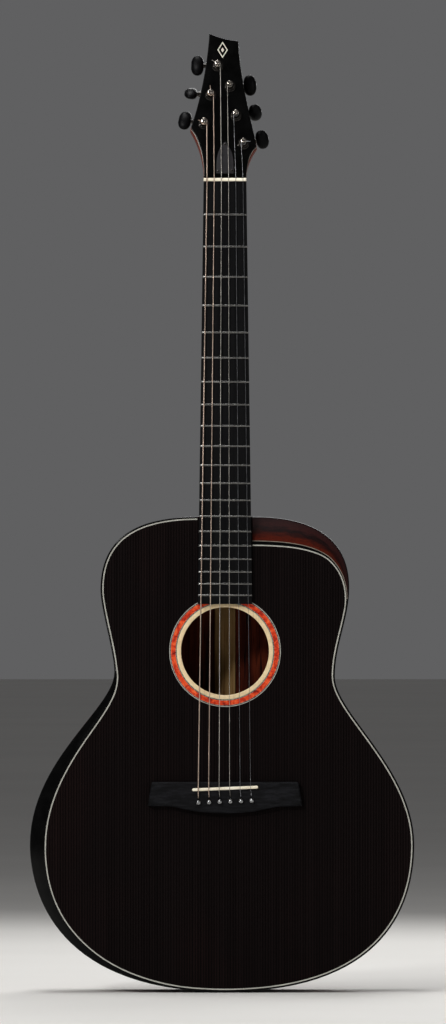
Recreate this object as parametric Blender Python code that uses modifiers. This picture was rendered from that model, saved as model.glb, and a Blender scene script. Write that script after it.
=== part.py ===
"""Steel-string acoustic guitar with a fourteen-fret neck, an arm bevel and a cutaway bevel.

Frame, in metres: +Z runs up the neck to the headstock, -Y points out of the soundboard, and the
bass strings lie at -X. The origin is on the centreline, at the front edge of the nut, in the
plane of the soundboard's face.
"""
import math

import bmesh
import bpy
import numpy as np
from mathutils import Matrix, Vector

MM = 0.001
GAP = 0.3 * MM

# Scale, fretboard and strings
SCALE_LENGTH = 650 * MM
FRET_COUNT = 20
NUT_WIDTH = 45.9 * MM
NUT_THICKNESS = 4.6 * MM
NUT_TOP = 8.0 * MM
FRETBOARD_LENGTH = 454.8 * MM
FRETBOARD_END_WIDTH = 58.5 * MM
FRETBOARD_THICKNESS = 6.3 * MM
FRETBOARD_RADIUS = 406 * MM
FRET_HEIGHT = 1.1 * MM
FRET_WIDTH = 2.2 * MM
STRING_NAMES = ("low_e", "a", "d", "g", "b", "high_e")
STRING_DIAMETERS = (1.35 * MM, 1.07 * MM, 0.81 * MM, 0.61 * MM, 0.46 * MM, 0.40 * MM)
STRING_SPREAD_AT_NUT = 38.6 * MM
STRING_SPREAD_AT_SADDLE = 56.2 * MM

# Body: half-widths and heights of the bouts, with the handle lengths that round each stretch
BODY_TOP_Z = -361.0 * MM
BODY_TAIL_Z = -871.4 * MM
NECK_POCKET_HALF = 15.6 * MM
NECK_SHOULDER_HALF = 29.6 * MM
TAIL_GRAFT_HALF = 6.0 * MM
BASS_SIDE = {
    "upper": (133.8, -439.2), "waist": (118.9, -528.0), "lower": (209.8, -714.0),
    "handles": (72, 51, 21, 21, 39, 92, 55, 178),
}
TREBLE_SIDE = {
    "upper": (133.5, -437.2), "waist": (118.0, -532.7), "lower": (203.4, -713.9),
    "handles": (57, 59, 33, 34, 39, 82, 61, 175),
}
STRETCH_STEPS = (8, 5, 8, 10)
DEPTH_AT_NECK = 100 * MM
DEPTH_AT_TAIL = 120 * MM
TOP_THICKNESS = 2.8 * MM
BACK_THICKNESS = 2.8 * MM
SIDE_THICKNESS = 2.2 * MM
BINDING_WIDTH = 2.0 * MM
BINDING_HEIGHT = 6.0 * MM
PURFLING_WIDTH = 1.3 * MM
LINING_WIDTH = 6.0 * MM
LINING_HEIGHT = 14.0 * MM
LINING_TOE = 5.0 * MM
LINING_GLUE_FACE = 1.5 * MM
SIDE_BRACE_WIDTH = 8.0 * MM
SIDE_BRACE_THICKNESS = 2.4 * MM

# Blocks and braces inside the body
NECK_BLOCK_LOW_Z = -415 * MM
TAIL_BLOCK_HALF = 28 * MM
TAIL_BLOCK_THICKNESS = 18 * MM
TAIL_BLOCK_CLEARANCE = 4 * MM
X_BRACE_WIDTH = 8.0 * MM
X_BRACE_DEPTH = 13.0 * MM
X_BRACE_CROSS_Z = -584 * MM
X_BRACE_LEAN = math.radians(50.5)
X_BRACE_UP = 122 * MM
X_BRACE_DOWN = 206 * MM
TONE_BAR_WIDTH = 6.5 * MM
TONE_BAR_DEPTH = 9.0 * MM
TONE_BARS = (
    ((-118 * MM, -683 * MM), (40 * MM, -745 * MM)), ((-148 * MM, -709 * MM), (14 * MM, -792 * MM)),
    ((78 * MM, -650 * MM), (126 * MM, -608 * MM)), ((-78 * MM, -650 * MM), (-118 * MM, -612 * MM)),
)
TRANSVERSE_BRACE_HALF = 104 * MM
TRANSVERSE_BRACE_LOW_Z = -444 * MM
TRANSVERSE_BRACE_HIGH_Z = -431 * MM
BACK_STRIP_HALF = 11 * MM
BACK_STRIP_LOW_Z = -842 * MM
BACK_STRIP_HIGH_Z = -418 * MM
BACK_STRIP_DEPTH = 2.5 * MM
BACK_BRACE_HALF_WIDTH = 5 * MM
BACK_BRACE_DEPTH = 14 * MM
BACK_BRACES = ((-440 * MM, 112 * MM), (-568 * MM, 104 * MM), (-668 * MM, 172 * MM), (-772 * MM, 176 * MM))

# Bevels: width along the rim, at fractions of the way from the neck to the tail
ARM_BEVEL = ((0.31, 0.0), (0.35, 4.6), (0.44, 9.4), (0.59, 14.2), (0.74, 8.6), (0.87, 2.2), (0.95, 0.0))
ARM_BEVEL_DROP = 0.85
CUTAWAY_BEVEL = ((0.0, 28.0), (0.045, 27.0), (0.11, 20.4), (0.155, 11.0), (0.185, 4.6), (0.23, 0.0))
CUTAWAY_BEVEL_DROP = 0.72
BEVEL_LEDGE = 8.0 * MM
BEVEL_MIN_WIDTH = 1.5 * MM

# Soundhole, bridge and pins
SOUNDHOLE_Z = -505.4 * MM
SOUNDHOLE_RADIUS = 47.2 * MM
HOLE_BINDING_RADIUS = 52.0 * MM
ROSETTE_RADIUS = 59.9 * MM
ROSETTE_DEPTH = 1.5 * MM
BRIDGE_TOP_Z = -645.8 * MM
BRIDGE_SHOULDER_Z = -671.7 * MM
BRIDGE_BELLY_Z = -679.6 * MM
BRIDGE_HALF_TOP = 79 * MM
BRIDGE_HALF_BOTTOM = 83 * MM
BRIDGE_HEIGHT = 9.2 * MM
BRIDGE_CHAMFER = 1.6 * MM
BELLY_HALF = 60 * MM
BRIDGE_PLATE_THICKNESS = 2.5 * MM
SADDLE_BASS = (-35.3 * MM, -654.3 * MM)
SADDLE_TREBLE = (35.7 * MM, -651.3 * MM)
SADDLE_THICKNESS = 3.2 * MM
SADDLE_TOP = 12.6 * MM
SADDLE_SLOT_DEPTH = 5.0 * MM
PIN_Z_BASS = -668.0 * MM
PIN_Z_TREBLE = -665.9 * MM
PIN_SPREAD = 57.1 * MM
PIN_HEAD_RADIUS = 2.9 * MM
PIN_SHAFT_RADIUS = 2.4 * MM
PIN_HOLE_RADIUS = 2.8 * MM
PIN_LENGTH = 20 * MM

# Neck and headstock
HEAD_ANGLE = math.radians(14)
HEAD_START_Z = 4.9 * MM
HEAD_THICKNESS = 13.0 * MM
HEADPLATE_TOP = 2.5 * MM
NECK_DEPTH = 15.0 * MM
HEEL_DEPTH = 97.0 * MM
HEEL_FRONT_Z = -360.5 * MM
HEEL_CAP_THICKNESS = 2.6 * MM
TENON_HALF = 15.0 * MM
TENON_END_Z = -384.7 * MM
TENON_DEPTH = 60.0 * MM
TRUSS_ROD_Y = 6.5 * MM
TRUSS_ROD_HALF_WIDTH = 3.0 * MM
TRUSS_ROD_HALF_DEPTH = 4.0 * MM
TRUSS_ROD_THREAD_RADIUS = 1.9 * MM
TRUSS_ROD_NUT_RADIUS = 3.7 * MM
TRUSS_ROD_NUT_LENGTH = 11 * MM
TRUSS_ROD_NUT_Z = 6.5 * MM
POST_HOLE_RADIUS = 5.2 * MM
ROD_COVER_THICKNESS = 1.8 * MM

# Tuning machines: post places are (x, distance up the face), angles turn each one to the head's edge
TUNER_POSTS = (
    (-22.5 * MM, 58.0 * MM), (-15.3 * MM, 90.2 * MM), (-7.8 * MM, 122.6 * MM),
    (5.2 * MM, 99.8 * MM), (11.8 * MM, 67.2 * MM), (19.9 * MM, 35.7 * MM),
)
TUNER_ANGLES = (11, 5, 2, 4, 10, 14)
BUTTON_REST_TURNS = (16, 52, 2, 14, 56, 42)
POST_RADIUS = 3.0 * MM
POST_TOP = 15.0 * MM
POST_WAIST_LOW = 8.4 * MM
POST_WAIST_HIGH = 11.4 * MM
POST_WAIST = 0.78
HOUSING_TAIL = 8.2 * MM
HOUSING_MOUTH = 9.6 * MM
HOUSING_LOW = 7.2 * MM
HOUSING_HIGH = 10.2 * MM
HOUSING_DEPTH = 12.6 * MM
HOUSING_WALL = 1.8 * MM
BUSHING_RADIUS = 4.6 * MM
FLANGE_RADIUS = 6.3 * MM
FLANGE_THICKNESS = 2.4 * MM
WORM_OFFSET = 5.4 * MM
WORM_LEVEL = -19.8 * MM
WORM_RADIUS = 1.7 * MM
GEAR_RADIUS = 3.4 * MM
GEAR_TEETH = 16
BUTTON_REACH = 22.1 * MM
BUTTON_LENGTH = 22.5 * MM
BUTTON_DEPTH = 13.4 * MM
BUTTON_THICKNESS = 9.4 * MM

PARTS = "acoustic_guitar"
TOOLS = "cutters"

COLOURS = {
    "ebonised_top": ((0.012, 0.009, 0.008), 0.35, 0.0),
    "rosewood": ((0.10, 0.028, 0.018), 0.3, 0.0),
    "neck_wood": ((0.12, 0.035, 0.02), 0.4, 0.0),
    "ebony": ((0.012, 0.011, 0.011), 0.45, 0.0),
    "spruce": ((0.45, 0.28, 0.13), 0.6, 0.0),
    "black_binding": ((0.01, 0.01, 0.01), 0.25, 0.0),
    "white_purfling": ((0.75, 0.73, 0.68), 0.4, 0.0),
    "maple_ring": ((0.66, 0.49, 0.27), 0.4, 0.0),
    "rosette_red": ((0.50, 0.06, 0.02), 0.35, 0.0),
    "bone": ((0.80, 0.74, 0.60), 0.35, 0.0),
    "gloss_black": ((0.008, 0.008, 0.008), 0.1, 0.0),
    "nickel": ((0.62, 0.60, 0.57), 0.2, 1.0),
    "steel": ((0.45, 0.45, 0.45), 0.3, 1.0),
    "bronze_string": ((0.60, 0.42, 0.32), 0.3, 1.0),
    "plain_string": ((0.55, 0.56, 0.58), 0.25, 1.0),
}


# ---------------------------------------------------------------- Blender helpers

def clear_scene():
    for old in list(bpy.data.objects):
        bpy.data.objects.remove(old, do_unlink=True)
    for name in (PARTS, TOOLS):
        collection = bpy.data.collections.new(name)
        bpy.context.scene.collection.children.link(collection)


def material(name):
    found = bpy.data.materials.get(name)
    if found:
        return found
    colour, roughness, metallic = COLOURS[name]
    made = bpy.data.materials.new(name)
    made.use_nodes = True
    shader = made.node_tree.nodes["Principled BSDF"]
    shader.inputs["Base Color"].default_value = (*colour, 1.0)
    shader.inputs["Roughness"].default_value = roughness
    shader.inputs["Metallic"].default_value = metallic
    made.diffuse_color = (*colour, 1.0)
    return made


def add_part(name, data, finish, smooth=False):
    """Put a mesh or curve in the guitar's collection under its own name and material."""
    part = bpy.data.objects.new(name, data)
    bpy.data.collections[PARTS].objects.link(part)
    if not data.materials:
        data.materials.append(material(finish))
    if smooth:
        data.shade_smooth()
        data.set_sharp_from_angle(angle=math.radians(40))
    return part


def add_tool(name, data, matrix=None):
    """Put a cutter or a piece to be joined in the tools' collection, out of the render."""
    tool = bpy.data.objects.new(name, data)
    bpy.data.collections[TOOLS].objects.link(tool)
    tool.hide_render = True
    tool.display_type = "WIRE"
    if matrix is not None:
        tool.matrix_world = matrix
    return tool


def combine(part, operation, *tools):
    for tool in tools:
        step = part.modifiers.new(tool.name, "BOOLEAN")
        step.operation = operation
        step.solver = "EXACT"
        step.object = tool


def bevel(part, width, segments=2, angle=35):
    step = part.modifiers.new("bevel", "BEVEL")
    step.width = width
    step.segments = segments
    step.limit_method = "ANGLE"
    step.angle_limit = math.radians(angle)


def baked(source, weld=0.00001):
    """The evaluated mesh of an object, welded and facing outwards; the object itself is removed."""
    bpy.context.view_layer.update()
    graph = bpy.context.evaluated_depsgraph_get()
    mesh = bpy.data.meshes.new_from_object(source.evaluated_get(graph))
    mesh.name = source.name
    bpy.data.objects.remove(source, do_unlink=True)
    shape = bmesh.new()
    shape.from_mesh(mesh)
    bmesh.ops.remove_doubles(shape, verts=shape.verts, dist=weld)
    bmesh.ops.recalc_face_normals(shape, faces=shape.faces)
    shape.to_mesh(mesh)
    shape.free()
    return mesh


def flat_mesh(name, loops, thickness):
    """A plate in its own XY plane, centred on Z, from one outer loop and any hole loops."""
    curve = bpy.data.curves.new(name, "CURVE")
    curve.dimensions = "2D"
    curve.fill_mode = "BOTH"
    curve.extrude = thickness / 2
    for loop in loops:
        spline = curve.splines.new("POLY")
        spline.points.add(len(loop) - 1)
        for point, (x, y) in zip(spline.points, loop):
            point.co = (x, y, 0, 1)
        spline.use_cyclic_u = True
    holder = bpy.data.objects.new(name, curve)
    bpy.data.collections[TOOLS].objects.link(holder)
    return baked(holder)


def box_mesh(name, low, high):
    shape = bmesh.new()
    bmesh.ops.create_cube(shape, size=1.0)
    centre = (Vector(low) + Vector(high)) / 2
    size = Vector(high) - Vector(low)
    for vert in shape.verts:
        vert.co = Vector(a * b for a, b in zip(vert.co, size)) + centre
    mesh = bpy.data.meshes.new(name)
    shape.to_mesh(mesh)
    shape.free()
    return mesh


def cylinder_mesh(name, spots, radius, low, high, segments=12):
    """Upright cylinders of one size, one at each (x, y), between two heights."""
    shape = bmesh.new()
    for x, y in spots:
        place = Matrix.Translation((x, y, (low + high) / 2))
        bmesh.ops.create_cone(shape, cap_ends=True, segments=segments, radius1=radius, radius2=radius,
                              depth=high - low, matrix=place)
    mesh = bpy.data.meshes.new(name)
    shape.to_mesh(mesh)
    shape.free()
    return mesh


def turned_mesh(name, profile, segments):
    """A solid turned about Z from a profile of (radius, height) that starts and ends on the axis."""
    mesh = bpy.data.meshes.new(name)
    points = [(radius, 0, height) for radius, height in profile]
    mesh.from_pydata(points, [(i, i + 1) for i in range(len(points) - 1)], [])
    holder = bpy.data.objects.new(name, mesh)
    bpy.data.collections[TOOLS].objects.link(holder)
    screw = holder.modifiers.new("turn", "SCREW")
    screw.steps = segments
    screw.render_steps = segments
    screw.use_merge_vertices = True
    screw.merge_threshold = 0.00001
    return baked(holder)


def loft_mesh(name, sections):
    """A solid through closed sections that all have the same number of corners."""
    shape = bmesh.new()
    rings = [[shape.verts.new(corner) for corner in section] for section in sections]
    count = len(rings[0])
    for ring, following in zip(rings, rings[1:]):
        for k in range(count):
            after = (k + 1) % count
            shape.faces.new((ring[k], ring[after], following[after], following[k]))
    if not np.allclose(sections[0], sections[-1]):
        shape.faces.new(rings[0])
        shape.faces.new(rings[-1])
    bmesh.ops.remove_doubles(shape, verts=shape.verts, dist=0.000001)
    bmesh.ops.recalc_face_normals(shape, faces=shape.faces)
    mesh = bpy.data.meshes.new(name)
    shape.to_mesh(mesh)
    shape.free()
    return mesh


# ---------------------------------------------------------------- outline of the body

def bezier(start, handle_a, handle_b, end, steps):
    t = np.linspace(0, 1, steps + 1)[:, None]
    corners = [np.array(p, float) for p in (start, handle_a, handle_b, end)]
    return ((1 - t) ** 3 * corners[0] + 3 * t * (1 - t) ** 2 * corners[1]
            + 3 * t ** 2 * (1 - t) * corners[2] + t ** 3 * corners[3])


def eased(fractions, knots):
    """A smooth curve through (fraction, value) knots, level beyond both ends."""
    at = np.array([knot[0] for knot in knots])
    value = np.array([knot[1] for knot in knots])
    slope = np.gradient(value, at)
    slope[0] = slope[-1] = 0
    where = np.clip(fractions, at[0], at[-1])
    i = np.clip(np.searchsorted(at, where, side="right") - 1, 0, len(at) - 2)
    width = at[i + 1] - at[i]
    t = (where - at[i]) / width
    return ((1 + 2 * t) * (1 - t) ** 2 * value[i] + t * (1 - t) ** 2 * width * slope[i]
            + t * t * (3 - 2 * t) * value[i + 1] + t * t * (t - 1) * width * slope[i + 1])


class Rim:
    """Stations along one side of the body, from the neck to the tail.

    Each station has a place on the outline, a direction into the body, and the width and the
    drop of the bevel there. Station 0 is at the neck pocket and only the ribs use it.
    """

    def __init__(self, hand, shape, knots, drop):
        a, b, c, d, e, f, g, h = (handle * MM for handle in shape["handles"])
        upper, waist, lower = (np.array(shape[key]) * MM for key in ("upper", "waist", "lower"))
        shoulder = np.array((NECK_SHOULDER_HALF, BODY_TOP_Z))
        tail = np.array((0, BODY_TAIL_Z))
        stretches = (
            (shoulder, shoulder + (a, 0), upper + (0, b), upper),
            (upper, upper - (0, c), waist + (0, d), waist),
            (waist, waist - (0, e), lower + (0, f), lower),
            (lower, lower - (0, g), tail + (h, 0), tail),
        )
        points = [shoulder]
        for stretch, steps in zip(stretches, STRETCH_STEPS):
            points.extend(bezier(*stretch, steps)[1:])
        points.insert(-1, np.array((TAIL_GRAFT_HALF + GAP, BODY_TAIL_Z)))
        points.insert(0, np.array((NECK_POCKET_HALF, BODY_TOP_Z)))
        points = np.array(points)
        heading = np.gradient(points, axis=0)
        heading[:2] = (1, 0)
        heading[-2:] = (-1, 0)
        heading /= np.linalg.norm(heading, axis=1)[:, None]
        self.inward = np.stack((heading[:, 1], -heading[:, 0]), axis=1)
        self.points = points
        run = np.concatenate(([0], np.cumsum(np.linalg.norm(np.diff(points, axis=0), axis=1))))
        fractions = (run - run[1]) / (run[-1] - run[1])
        self.bevel = np.maximum(eased(fractions, knots), 0) * MM
        self.drop = self.bevel * drop
        self.bevelled = [i for i in range(1, len(points)) if self.bevel[i] >= BEVEL_MIN_WIDTH]
        self.hand = hand

    def place(self, i, inset, y):
        x, z = self.points[i] + self.inward[i] * inset
        return (self.hand * x, y, z)

    def section(self, i, corners):
        return [self.place(i, inset, y) for inset, y in corners]

    def last(self):
        return len(self.points) - 1


def back_y(z):
    """Depth of the back's outer face at a height; the body deepens towards the tail."""
    along = (BODY_TOP_Z - z) / (BODY_TOP_Z - BODY_TAIL_Z)
    return DEPTH_AT_NECK + (DEPTH_AT_TAIL - DEPTH_AT_NECK) * along


def bevel_line(rim, i, inset):
    """Depth of the bevel's face at an inset from the outline, or the flat face beyond it."""
    reach = rim.bevel[i] + BINDING_WIDTH
    return rim.drop[i] * max(0.0, 1 - inset / reach)


def upright(y):
    """Places a flat mesh in a plane parallel to the soundboard, with its +Z towards the front."""
    return Matrix.Translation((0, y, 0)) @ Matrix.Rotation(math.radians(90), 4, "X")


def plate_loop(bass, treble, inset_at):
    """Outline of a plate from the bass shoulder round the tail to the treble shoulder."""
    loop = []
    for rim, order in ((bass, 1), (treble, -1)):
        side = [rim.place(i, inset_at(rim, i), 0) for i in range(1, rim.last())]
        loop += [(x, z) for x, _, z in side[::order]]
    return loop


def around(bass, treble, corners_at):
    """Sections from the bass shoulder round the tail to the treble shoulder."""
    sections = [bass.section(i, corners_at(bass, i)) for i in range(1, bass.last() + 1)]
    sections += [treble.section(i, corners_at(treble, i)) for i in range(treble.last() - 1, 0, -1)]
    return sections


# ---------------------------------------------------------------- body

def make_top_trim(bass, treble):
    def binding(rim, i):
        low = rim.drop[i] + BINDING_HEIGHT
        return ((0, rim.drop[i]), (BINDING_WIDTH, bevel_line(rim, i, BINDING_WIDTH)),
                (BINDING_WIDTH, low), (0, low))

    def purfling(rim, i):
        outer = rim.bevel[i] + BINDING_WIDTH + GAP
        inner = outer + PURFLING_WIDTH
        return ((outer, 0), (inner, 0), (inner, TOP_THICKNESS), (outer, TOP_THICKNESS))

    add_part("top_binding", loft_mesh("top_binding", around(bass, treble, binding)), "black_binding")
    add_part("top_purfling", loft_mesh("top_purfling", around(bass, treble, purfling)), "white_purfling")


def circle(radius, count=40, centre_z=SOUNDHOLE_Z):
    turns = np.linspace(0, 2 * math.pi, count, endpoint=False)
    return [(radius * math.sin(turn), centre_z + radius * math.cos(turn)) for turn in turns]


def make_soundboard(bass, treble, pin_holes):
    edge = BINDING_WIDTH + PURFLING_WIDTH + 2 * GAP
    tongue = NECK_SHOULDER_HALF - GAP
    loop = plate_loop(bass, treble, lambda rim, i: rim.bevel[i] + edge)
    loop[0] = (-tongue, loop[0][1])
    loop[-1] = (tongue, loop[-1][1])
    loop += [(tongue, BODY_TOP_Z - GAP), (-tongue, BODY_TOP_Z - GAP)]
    hole = circle(HOLE_BINDING_RADIUS + GAP)
    plate = add_part("soundboard", flat_mesh("soundboard", (loop, hole), TOP_THICKNESS), "ebonised_top")
    plate.matrix_world = upright(TOP_THICKNESS / 2)
    channel = flat_mesh("rosette_channel", (circle(ROSETTE_RADIUS + GAP),), 2 * (ROSETTE_DEPTH + GAP))
    combine(plate, "DIFFERENCE", add_tool("rosette_channel", channel, upright(0)), pin_holes)


def make_rings():
    hole_loops = (circle(HOLE_BINDING_RADIUS), circle(SOUNDHOLE_RADIUS))
    hole_ring = flat_mesh("soundhole_binding", hole_loops, TOP_THICKNESS)
    add_part("soundhole_binding", hole_ring, "maple_ring").matrix_world = upright(TOP_THICKNESS / 2)
    inner = HOLE_BINDING_RADIUS + 2 * GAP
    rosette = flat_mesh("rosette", (circle(ROSETTE_RADIUS), circle(inner)), ROSETTE_DEPTH)
    add_part("rosette", rosette, "rosette_red").matrix_world = upright(ROSETTE_DEPTH / 2)


def make_back(bass, treble):
    def binding(rim, i):
        low = back_y(rim.points[i][1])
        high = low - BINDING_HEIGHT
        return ((0, high), (BINDING_WIDTH, high), (BINDING_WIDTH, low), (0, low))

    ring = around(bass, treble, binding)
    ring.append(ring[0])
    add_part("back_binding", loft_mesh("back_binding", ring), "black_binding")
    loop = plate_loop(bass, treble, lambda rim, i: BINDING_WIDTH + GAP)
    mesh = flat_mesh("back", (loop,), BACK_THICKNESS)
    plate = add_part("back", mesh, "rosewood")
    slope = (DEPTH_AT_TAIL - DEPTH_AT_NECK) / (BODY_TOP_Z - BODY_TAIL_Z)
    for vert in mesh.vertices:
        vert.co.z += slope * (vert.co.y - BODY_TOP_Z)
    plate.matrix_world = upright(DEPTH_AT_NECK - BACK_THICKNESS / 2)


def make_side(rim, name):
    def corners(i):
        high = rim.drop[i] + BINDING_HEIGHT + GAP
        low = back_y(rim.points[i][1]) - BINDING_HEIGHT - GAP
        return ((0, high), (SIDE_THICKNESS, high), (SIDE_THICKNESS, low), (0, low))

    sections = [rim.section(i, corners(i)) for i in range(rim.last())]
    add_part(name, loft_mesh(name, sections), "rosewood")


def make_bevel(rim, name, finish):
    """The solid block whose sloping face runs from the purfling down to the binding."""
    outer = BINDING_WIDTH + GAP
    below_top = TOP_THICKNESS + GAP

    def corners(i):
        inner = rim.bevel[i] + BINDING_WIDTH
        foot = rim.drop[i] + BINDING_HEIGHT
        ledge = inner + min(BEVEL_LEDGE, 2 * rim.bevel[i])
        return ((outer, bevel_line(rim, i, outer)), (inner, 0), (inner, below_top),
                (ledge, below_top), (ledge, below_top + TOP_THICKNESS), (outer, foot))

    sections = [rim.section(i, corners(i)) for i in rim.bevelled]
    add_part(name, loft_mesh(name, sections), finish)


def make_lining(rim, name, braced_stations):
    """Kerfed strips under the top and over the back, joined by upright braces on the rib."""
    outer = SIDE_THICKNESS + GAP
    inner = outer + LINING_WIDTH

    def top(i):
        high = TOP_THICKNESS + GAP
        if i in rim.bevelled:
            high = rim.drop[i] + BINDING_HEIGHT + GAP
        return ((outer, high), (inner, high), (inner, high + LINING_TOE), (outer, high + LINING_HEIGHT))

    def bottom(i):
        low = back_y(rim.points[i][1]) - BACK_THICKNESS - 2 * GAP
        return ((outer, low), (inner, low), (inner, low - LINING_TOE), (outer, low - LINING_HEIGHT))

    stations = range(1, rim.last() - 1)
    strip = add_part(name, loft_mesh(name, [rim.section(i, top(i)) for i in stations]), "spruce")
    lower = loft_mesh(name + "_back", [rim.section(i, bottom(i)) for i in stations])
    joined = [add_tool(name + "_back", lower)]
    for i in braced_stations:
        x, z = rim.points[i] + rim.inward[i] * (outer + LINING_GLUE_FACE)
        high = rim.drop[i] + LINING_HEIGHT
        low = back_y(z) - LINING_HEIGHT
        bar = box_mesh("side_brace", (-SIDE_BRACE_WIDTH / 2, high, -SIDE_BRACE_THICKNESS / 2),
                       (SIDE_BRACE_WIDTH / 2, low, SIDE_BRACE_THICKNESS / 2))
        turn = math.atan2(-rim.hand * rim.inward[i][0], rim.inward[i][1])
        place = Matrix.Translation((rim.hand * x, 0, z)) @ Matrix.Rotation(-turn, 4, "Y")
        joined.append(add_tool("side_brace", bar, place))
    combine(strip, "UNION", *joined)


def make_blocks():
    half = NECK_SHOULDER_HALF - 2 * GAP
    high = TOP_THICKNESS + GAP
    top_z = BODY_TOP_Z - SIDE_THICKNESS - GAP
    low = back_y(top_z) - BACK_THICKNESS - 2 * GAP
    block_mesh = box_mesh("neck_block", (-half, high, NECK_BLOCK_LOW_Z), (half, low, top_z))
    block = add_part("neck_block", block_mesh, "spruce")
    mortise = box_mesh("mortise", (-TENON_HALF - GAP, -high, TENON_END_Z - GAP),
                       (TENON_HALF + GAP, TENON_DEPTH + GAP, 0))
    combine(block, "DIFFERENCE", add_tool("mortise", mortise))
    tail_z = BODY_TAIL_Z + TAIL_BLOCK_CLEARANCE
    tail_high_z = tail_z + TAIL_BLOCK_THICKNESS
    tail_low = back_y(tail_high_z) - BACK_THICKNESS - 2 * GAP
    tail = box_mesh("tail_block", (-TAIL_BLOCK_HALF, high, tail_z), (TAIL_BLOCK_HALF, tail_low, tail_high_z))
    add_part("tail_block", tail, "spruce")
    graft_low = DEPTH_AT_TAIL - BINDING_HEIGHT - GAP
    graft = box_mesh("tail_graft", (-TAIL_GRAFT_HALF, BINDING_HEIGHT + GAP, BODY_TAIL_Z),
                     (TAIL_GRAFT_HALF, graft_low, BODY_TAIL_Z + SIDE_THICKNESS))
    add_part("tail_graft", graft, "ebony")


def bar_between(name, start, end, width, high, low):
    """A straight brace under the soundboard between two (x, z) places."""
    run = Vector((end[0] - start[0], end[1] - start[1]))
    mesh = box_mesh(name, (-width / 2, high, 0), (width / 2, low, run.length))
    turn = math.atan2(run.x, run.y)
    return mesh, Matrix.Translation((start[0], 0, start[1])) @ Matrix.Rotation(turn, 4, "Y")


def make_braces():
    high = TOP_THICKNESS + GAP
    low = high + X_BRACE_DEPTH
    across, along = math.sin(X_BRACE_LEAN), math.cos(X_BRACE_LEAN)
    legs = []
    for hand in (-1, 1):
        start = (hand * X_BRACE_UP * across, X_BRACE_CROSS_Z + X_BRACE_UP * along)
        end = (-hand * X_BRACE_DOWN * across, X_BRACE_CROSS_Z - X_BRACE_DOWN * along)
        legs.append(bar_between("x_leg", start, end, X_BRACE_WIDTH, high, low))
    brace = add_part("x_brace", legs[0][0], "spruce")
    brace.matrix_world = legs[0][1]
    tones = [bar_between("tone_bar", start, end, TONE_BAR_WIDTH, high, high + TONE_BAR_DEPTH)
             for start, end in TONE_BARS]
    joined = [add_tool(mesh.name, mesh, place) for mesh, place in [legs[1]] + tones]
    combine(brace, "UNION", *joined)
    bar = box_mesh("upper_transverse_brace", (-TRANSVERSE_BRACE_HALF, high, TRANSVERSE_BRACE_LOW_Z),
                   (TRANSVERSE_BRACE_HALF, low, TRANSVERSE_BRACE_HIGH_Z))
    add_part("upper_transverse_brace", bar, "spruce")


def make_back_bracing():
    """Four cross braces on the back, tied by the strip that covers its centre joint."""
    seat = BACK_THICKNESS + GAP

    def seated(name, x, z_low, z_high, height, lift=0):
        mesh = box_mesh(name, (-x, 0, z_low), (x, 1 * MM, z_high))
        for vert in mesh.vertices:
            base = back_y(vert.co.z) - seat - lift
            vert.co.y = base if vert.co.y > 0.5 * MM else base - height
        return mesh

    strip = seated("back_strip", BACK_STRIP_HALF, BACK_STRIP_LOW_Z, BACK_STRIP_HIGH_Z, BACK_STRIP_DEPTH)
    strip = add_part("back_bracing", strip, "spruce")
    joined = []
    for z, reach in BACK_BRACES:
        bar = seated("back_brace", reach, z - BACK_BRACE_HALF_WIDTH, z + BACK_BRACE_HALF_WIDTH,
                     BACK_BRACE_DEPTH, lift=GAP)
        joined.append(add_tool("back_brace", bar))
    combine(strip, "UNION", *joined)


# ---------------------------------------------------------------- bridge

def spread(width, k):
    return width * (k / 5 - 0.5)


def pin_place(k):
    return (spread(PIN_SPREAD, k), PIN_Z_BASS + (PIN_Z_TREBLE - PIN_Z_BASS) * k / 5)


def saddle_z(x):
    along = (x - SADDLE_BASS[0]) / (SADDLE_TREBLE[0] - SADDLE_BASS[0])
    return SADDLE_BASS[1] + (SADDLE_TREBLE[1] - SADDLE_BASS[1]) * along


def saddle_bar(name, margin, y_front, y_back):
    run = Vector((SADDLE_TREBLE[0] - SADDLE_BASS[0], SADDLE_TREBLE[1] - SADDLE_BASS[1]))
    half = run.length / 2 + margin
    thick = SADDLE_THICKNESS / 2 + margin
    mesh = box_mesh(name, (-half, y_front, -thick), (half, y_back, thick))
    middle = ((SADDLE_BASS[0] + SADDLE_TREBLE[0]) / 2, 0, (SADDLE_BASS[1] + SADDLE_TREBLE[1]) / 2)
    return mesh, Matrix.Translation(middle) @ Matrix.Rotation(-math.atan2(run.y, run.x), 4, "Y")


def make_bridge(pin_holes):
    foot = (BELLY_HALF, BRIDGE_SHOULDER_Z - 0.5 * MM)
    belly = [(BRIDGE_HALF_BOTTOM, BRIDGE_SHOULDER_Z), foot]
    curve = bezier(foot, (45 * MM, BRIDGE_SHOULDER_Z - 2 * MM), (35 * MM, BRIDGE_BELLY_Z),
                   (0, BRIDGE_BELLY_Z), 8)
    belly += [tuple(point) for point in curve[1:]]
    half = [(BRIDGE_HALF_TOP, BRIDGE_TOP_Z)] + belly
    loop = half + [(-x, z) for x, z in half[-2::-1]]
    bridge = add_part("bridge", flat_mesh("bridge", (loop,), BRIDGE_HEIGHT), "ebony")
    bridge.matrix_world = upright(-GAP - BRIDGE_HEIGHT / 2)
    slot = add_tool("saddle_slot", *saddle_bar("saddle_slot", GAP, -20 * MM,
                                               -GAP - BRIDGE_HEIGHT + SADDLE_SLOT_DEPTH))
    bevel(bridge, BRIDGE_CHAMFER, segments=1)
    combine(bridge, "DIFFERENCE", slot, pin_holes)
    saddle_foot = -2 * GAP - BRIDGE_HEIGHT + SADDLE_SLOT_DEPTH
    mesh, place = saddle_bar("saddle", 0, -SADDLE_TOP, saddle_foot)
    saddle = add_part("saddle", mesh, "bone")
    saddle.matrix_world = place
    bevel(saddle, 0.8 * MM)


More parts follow.
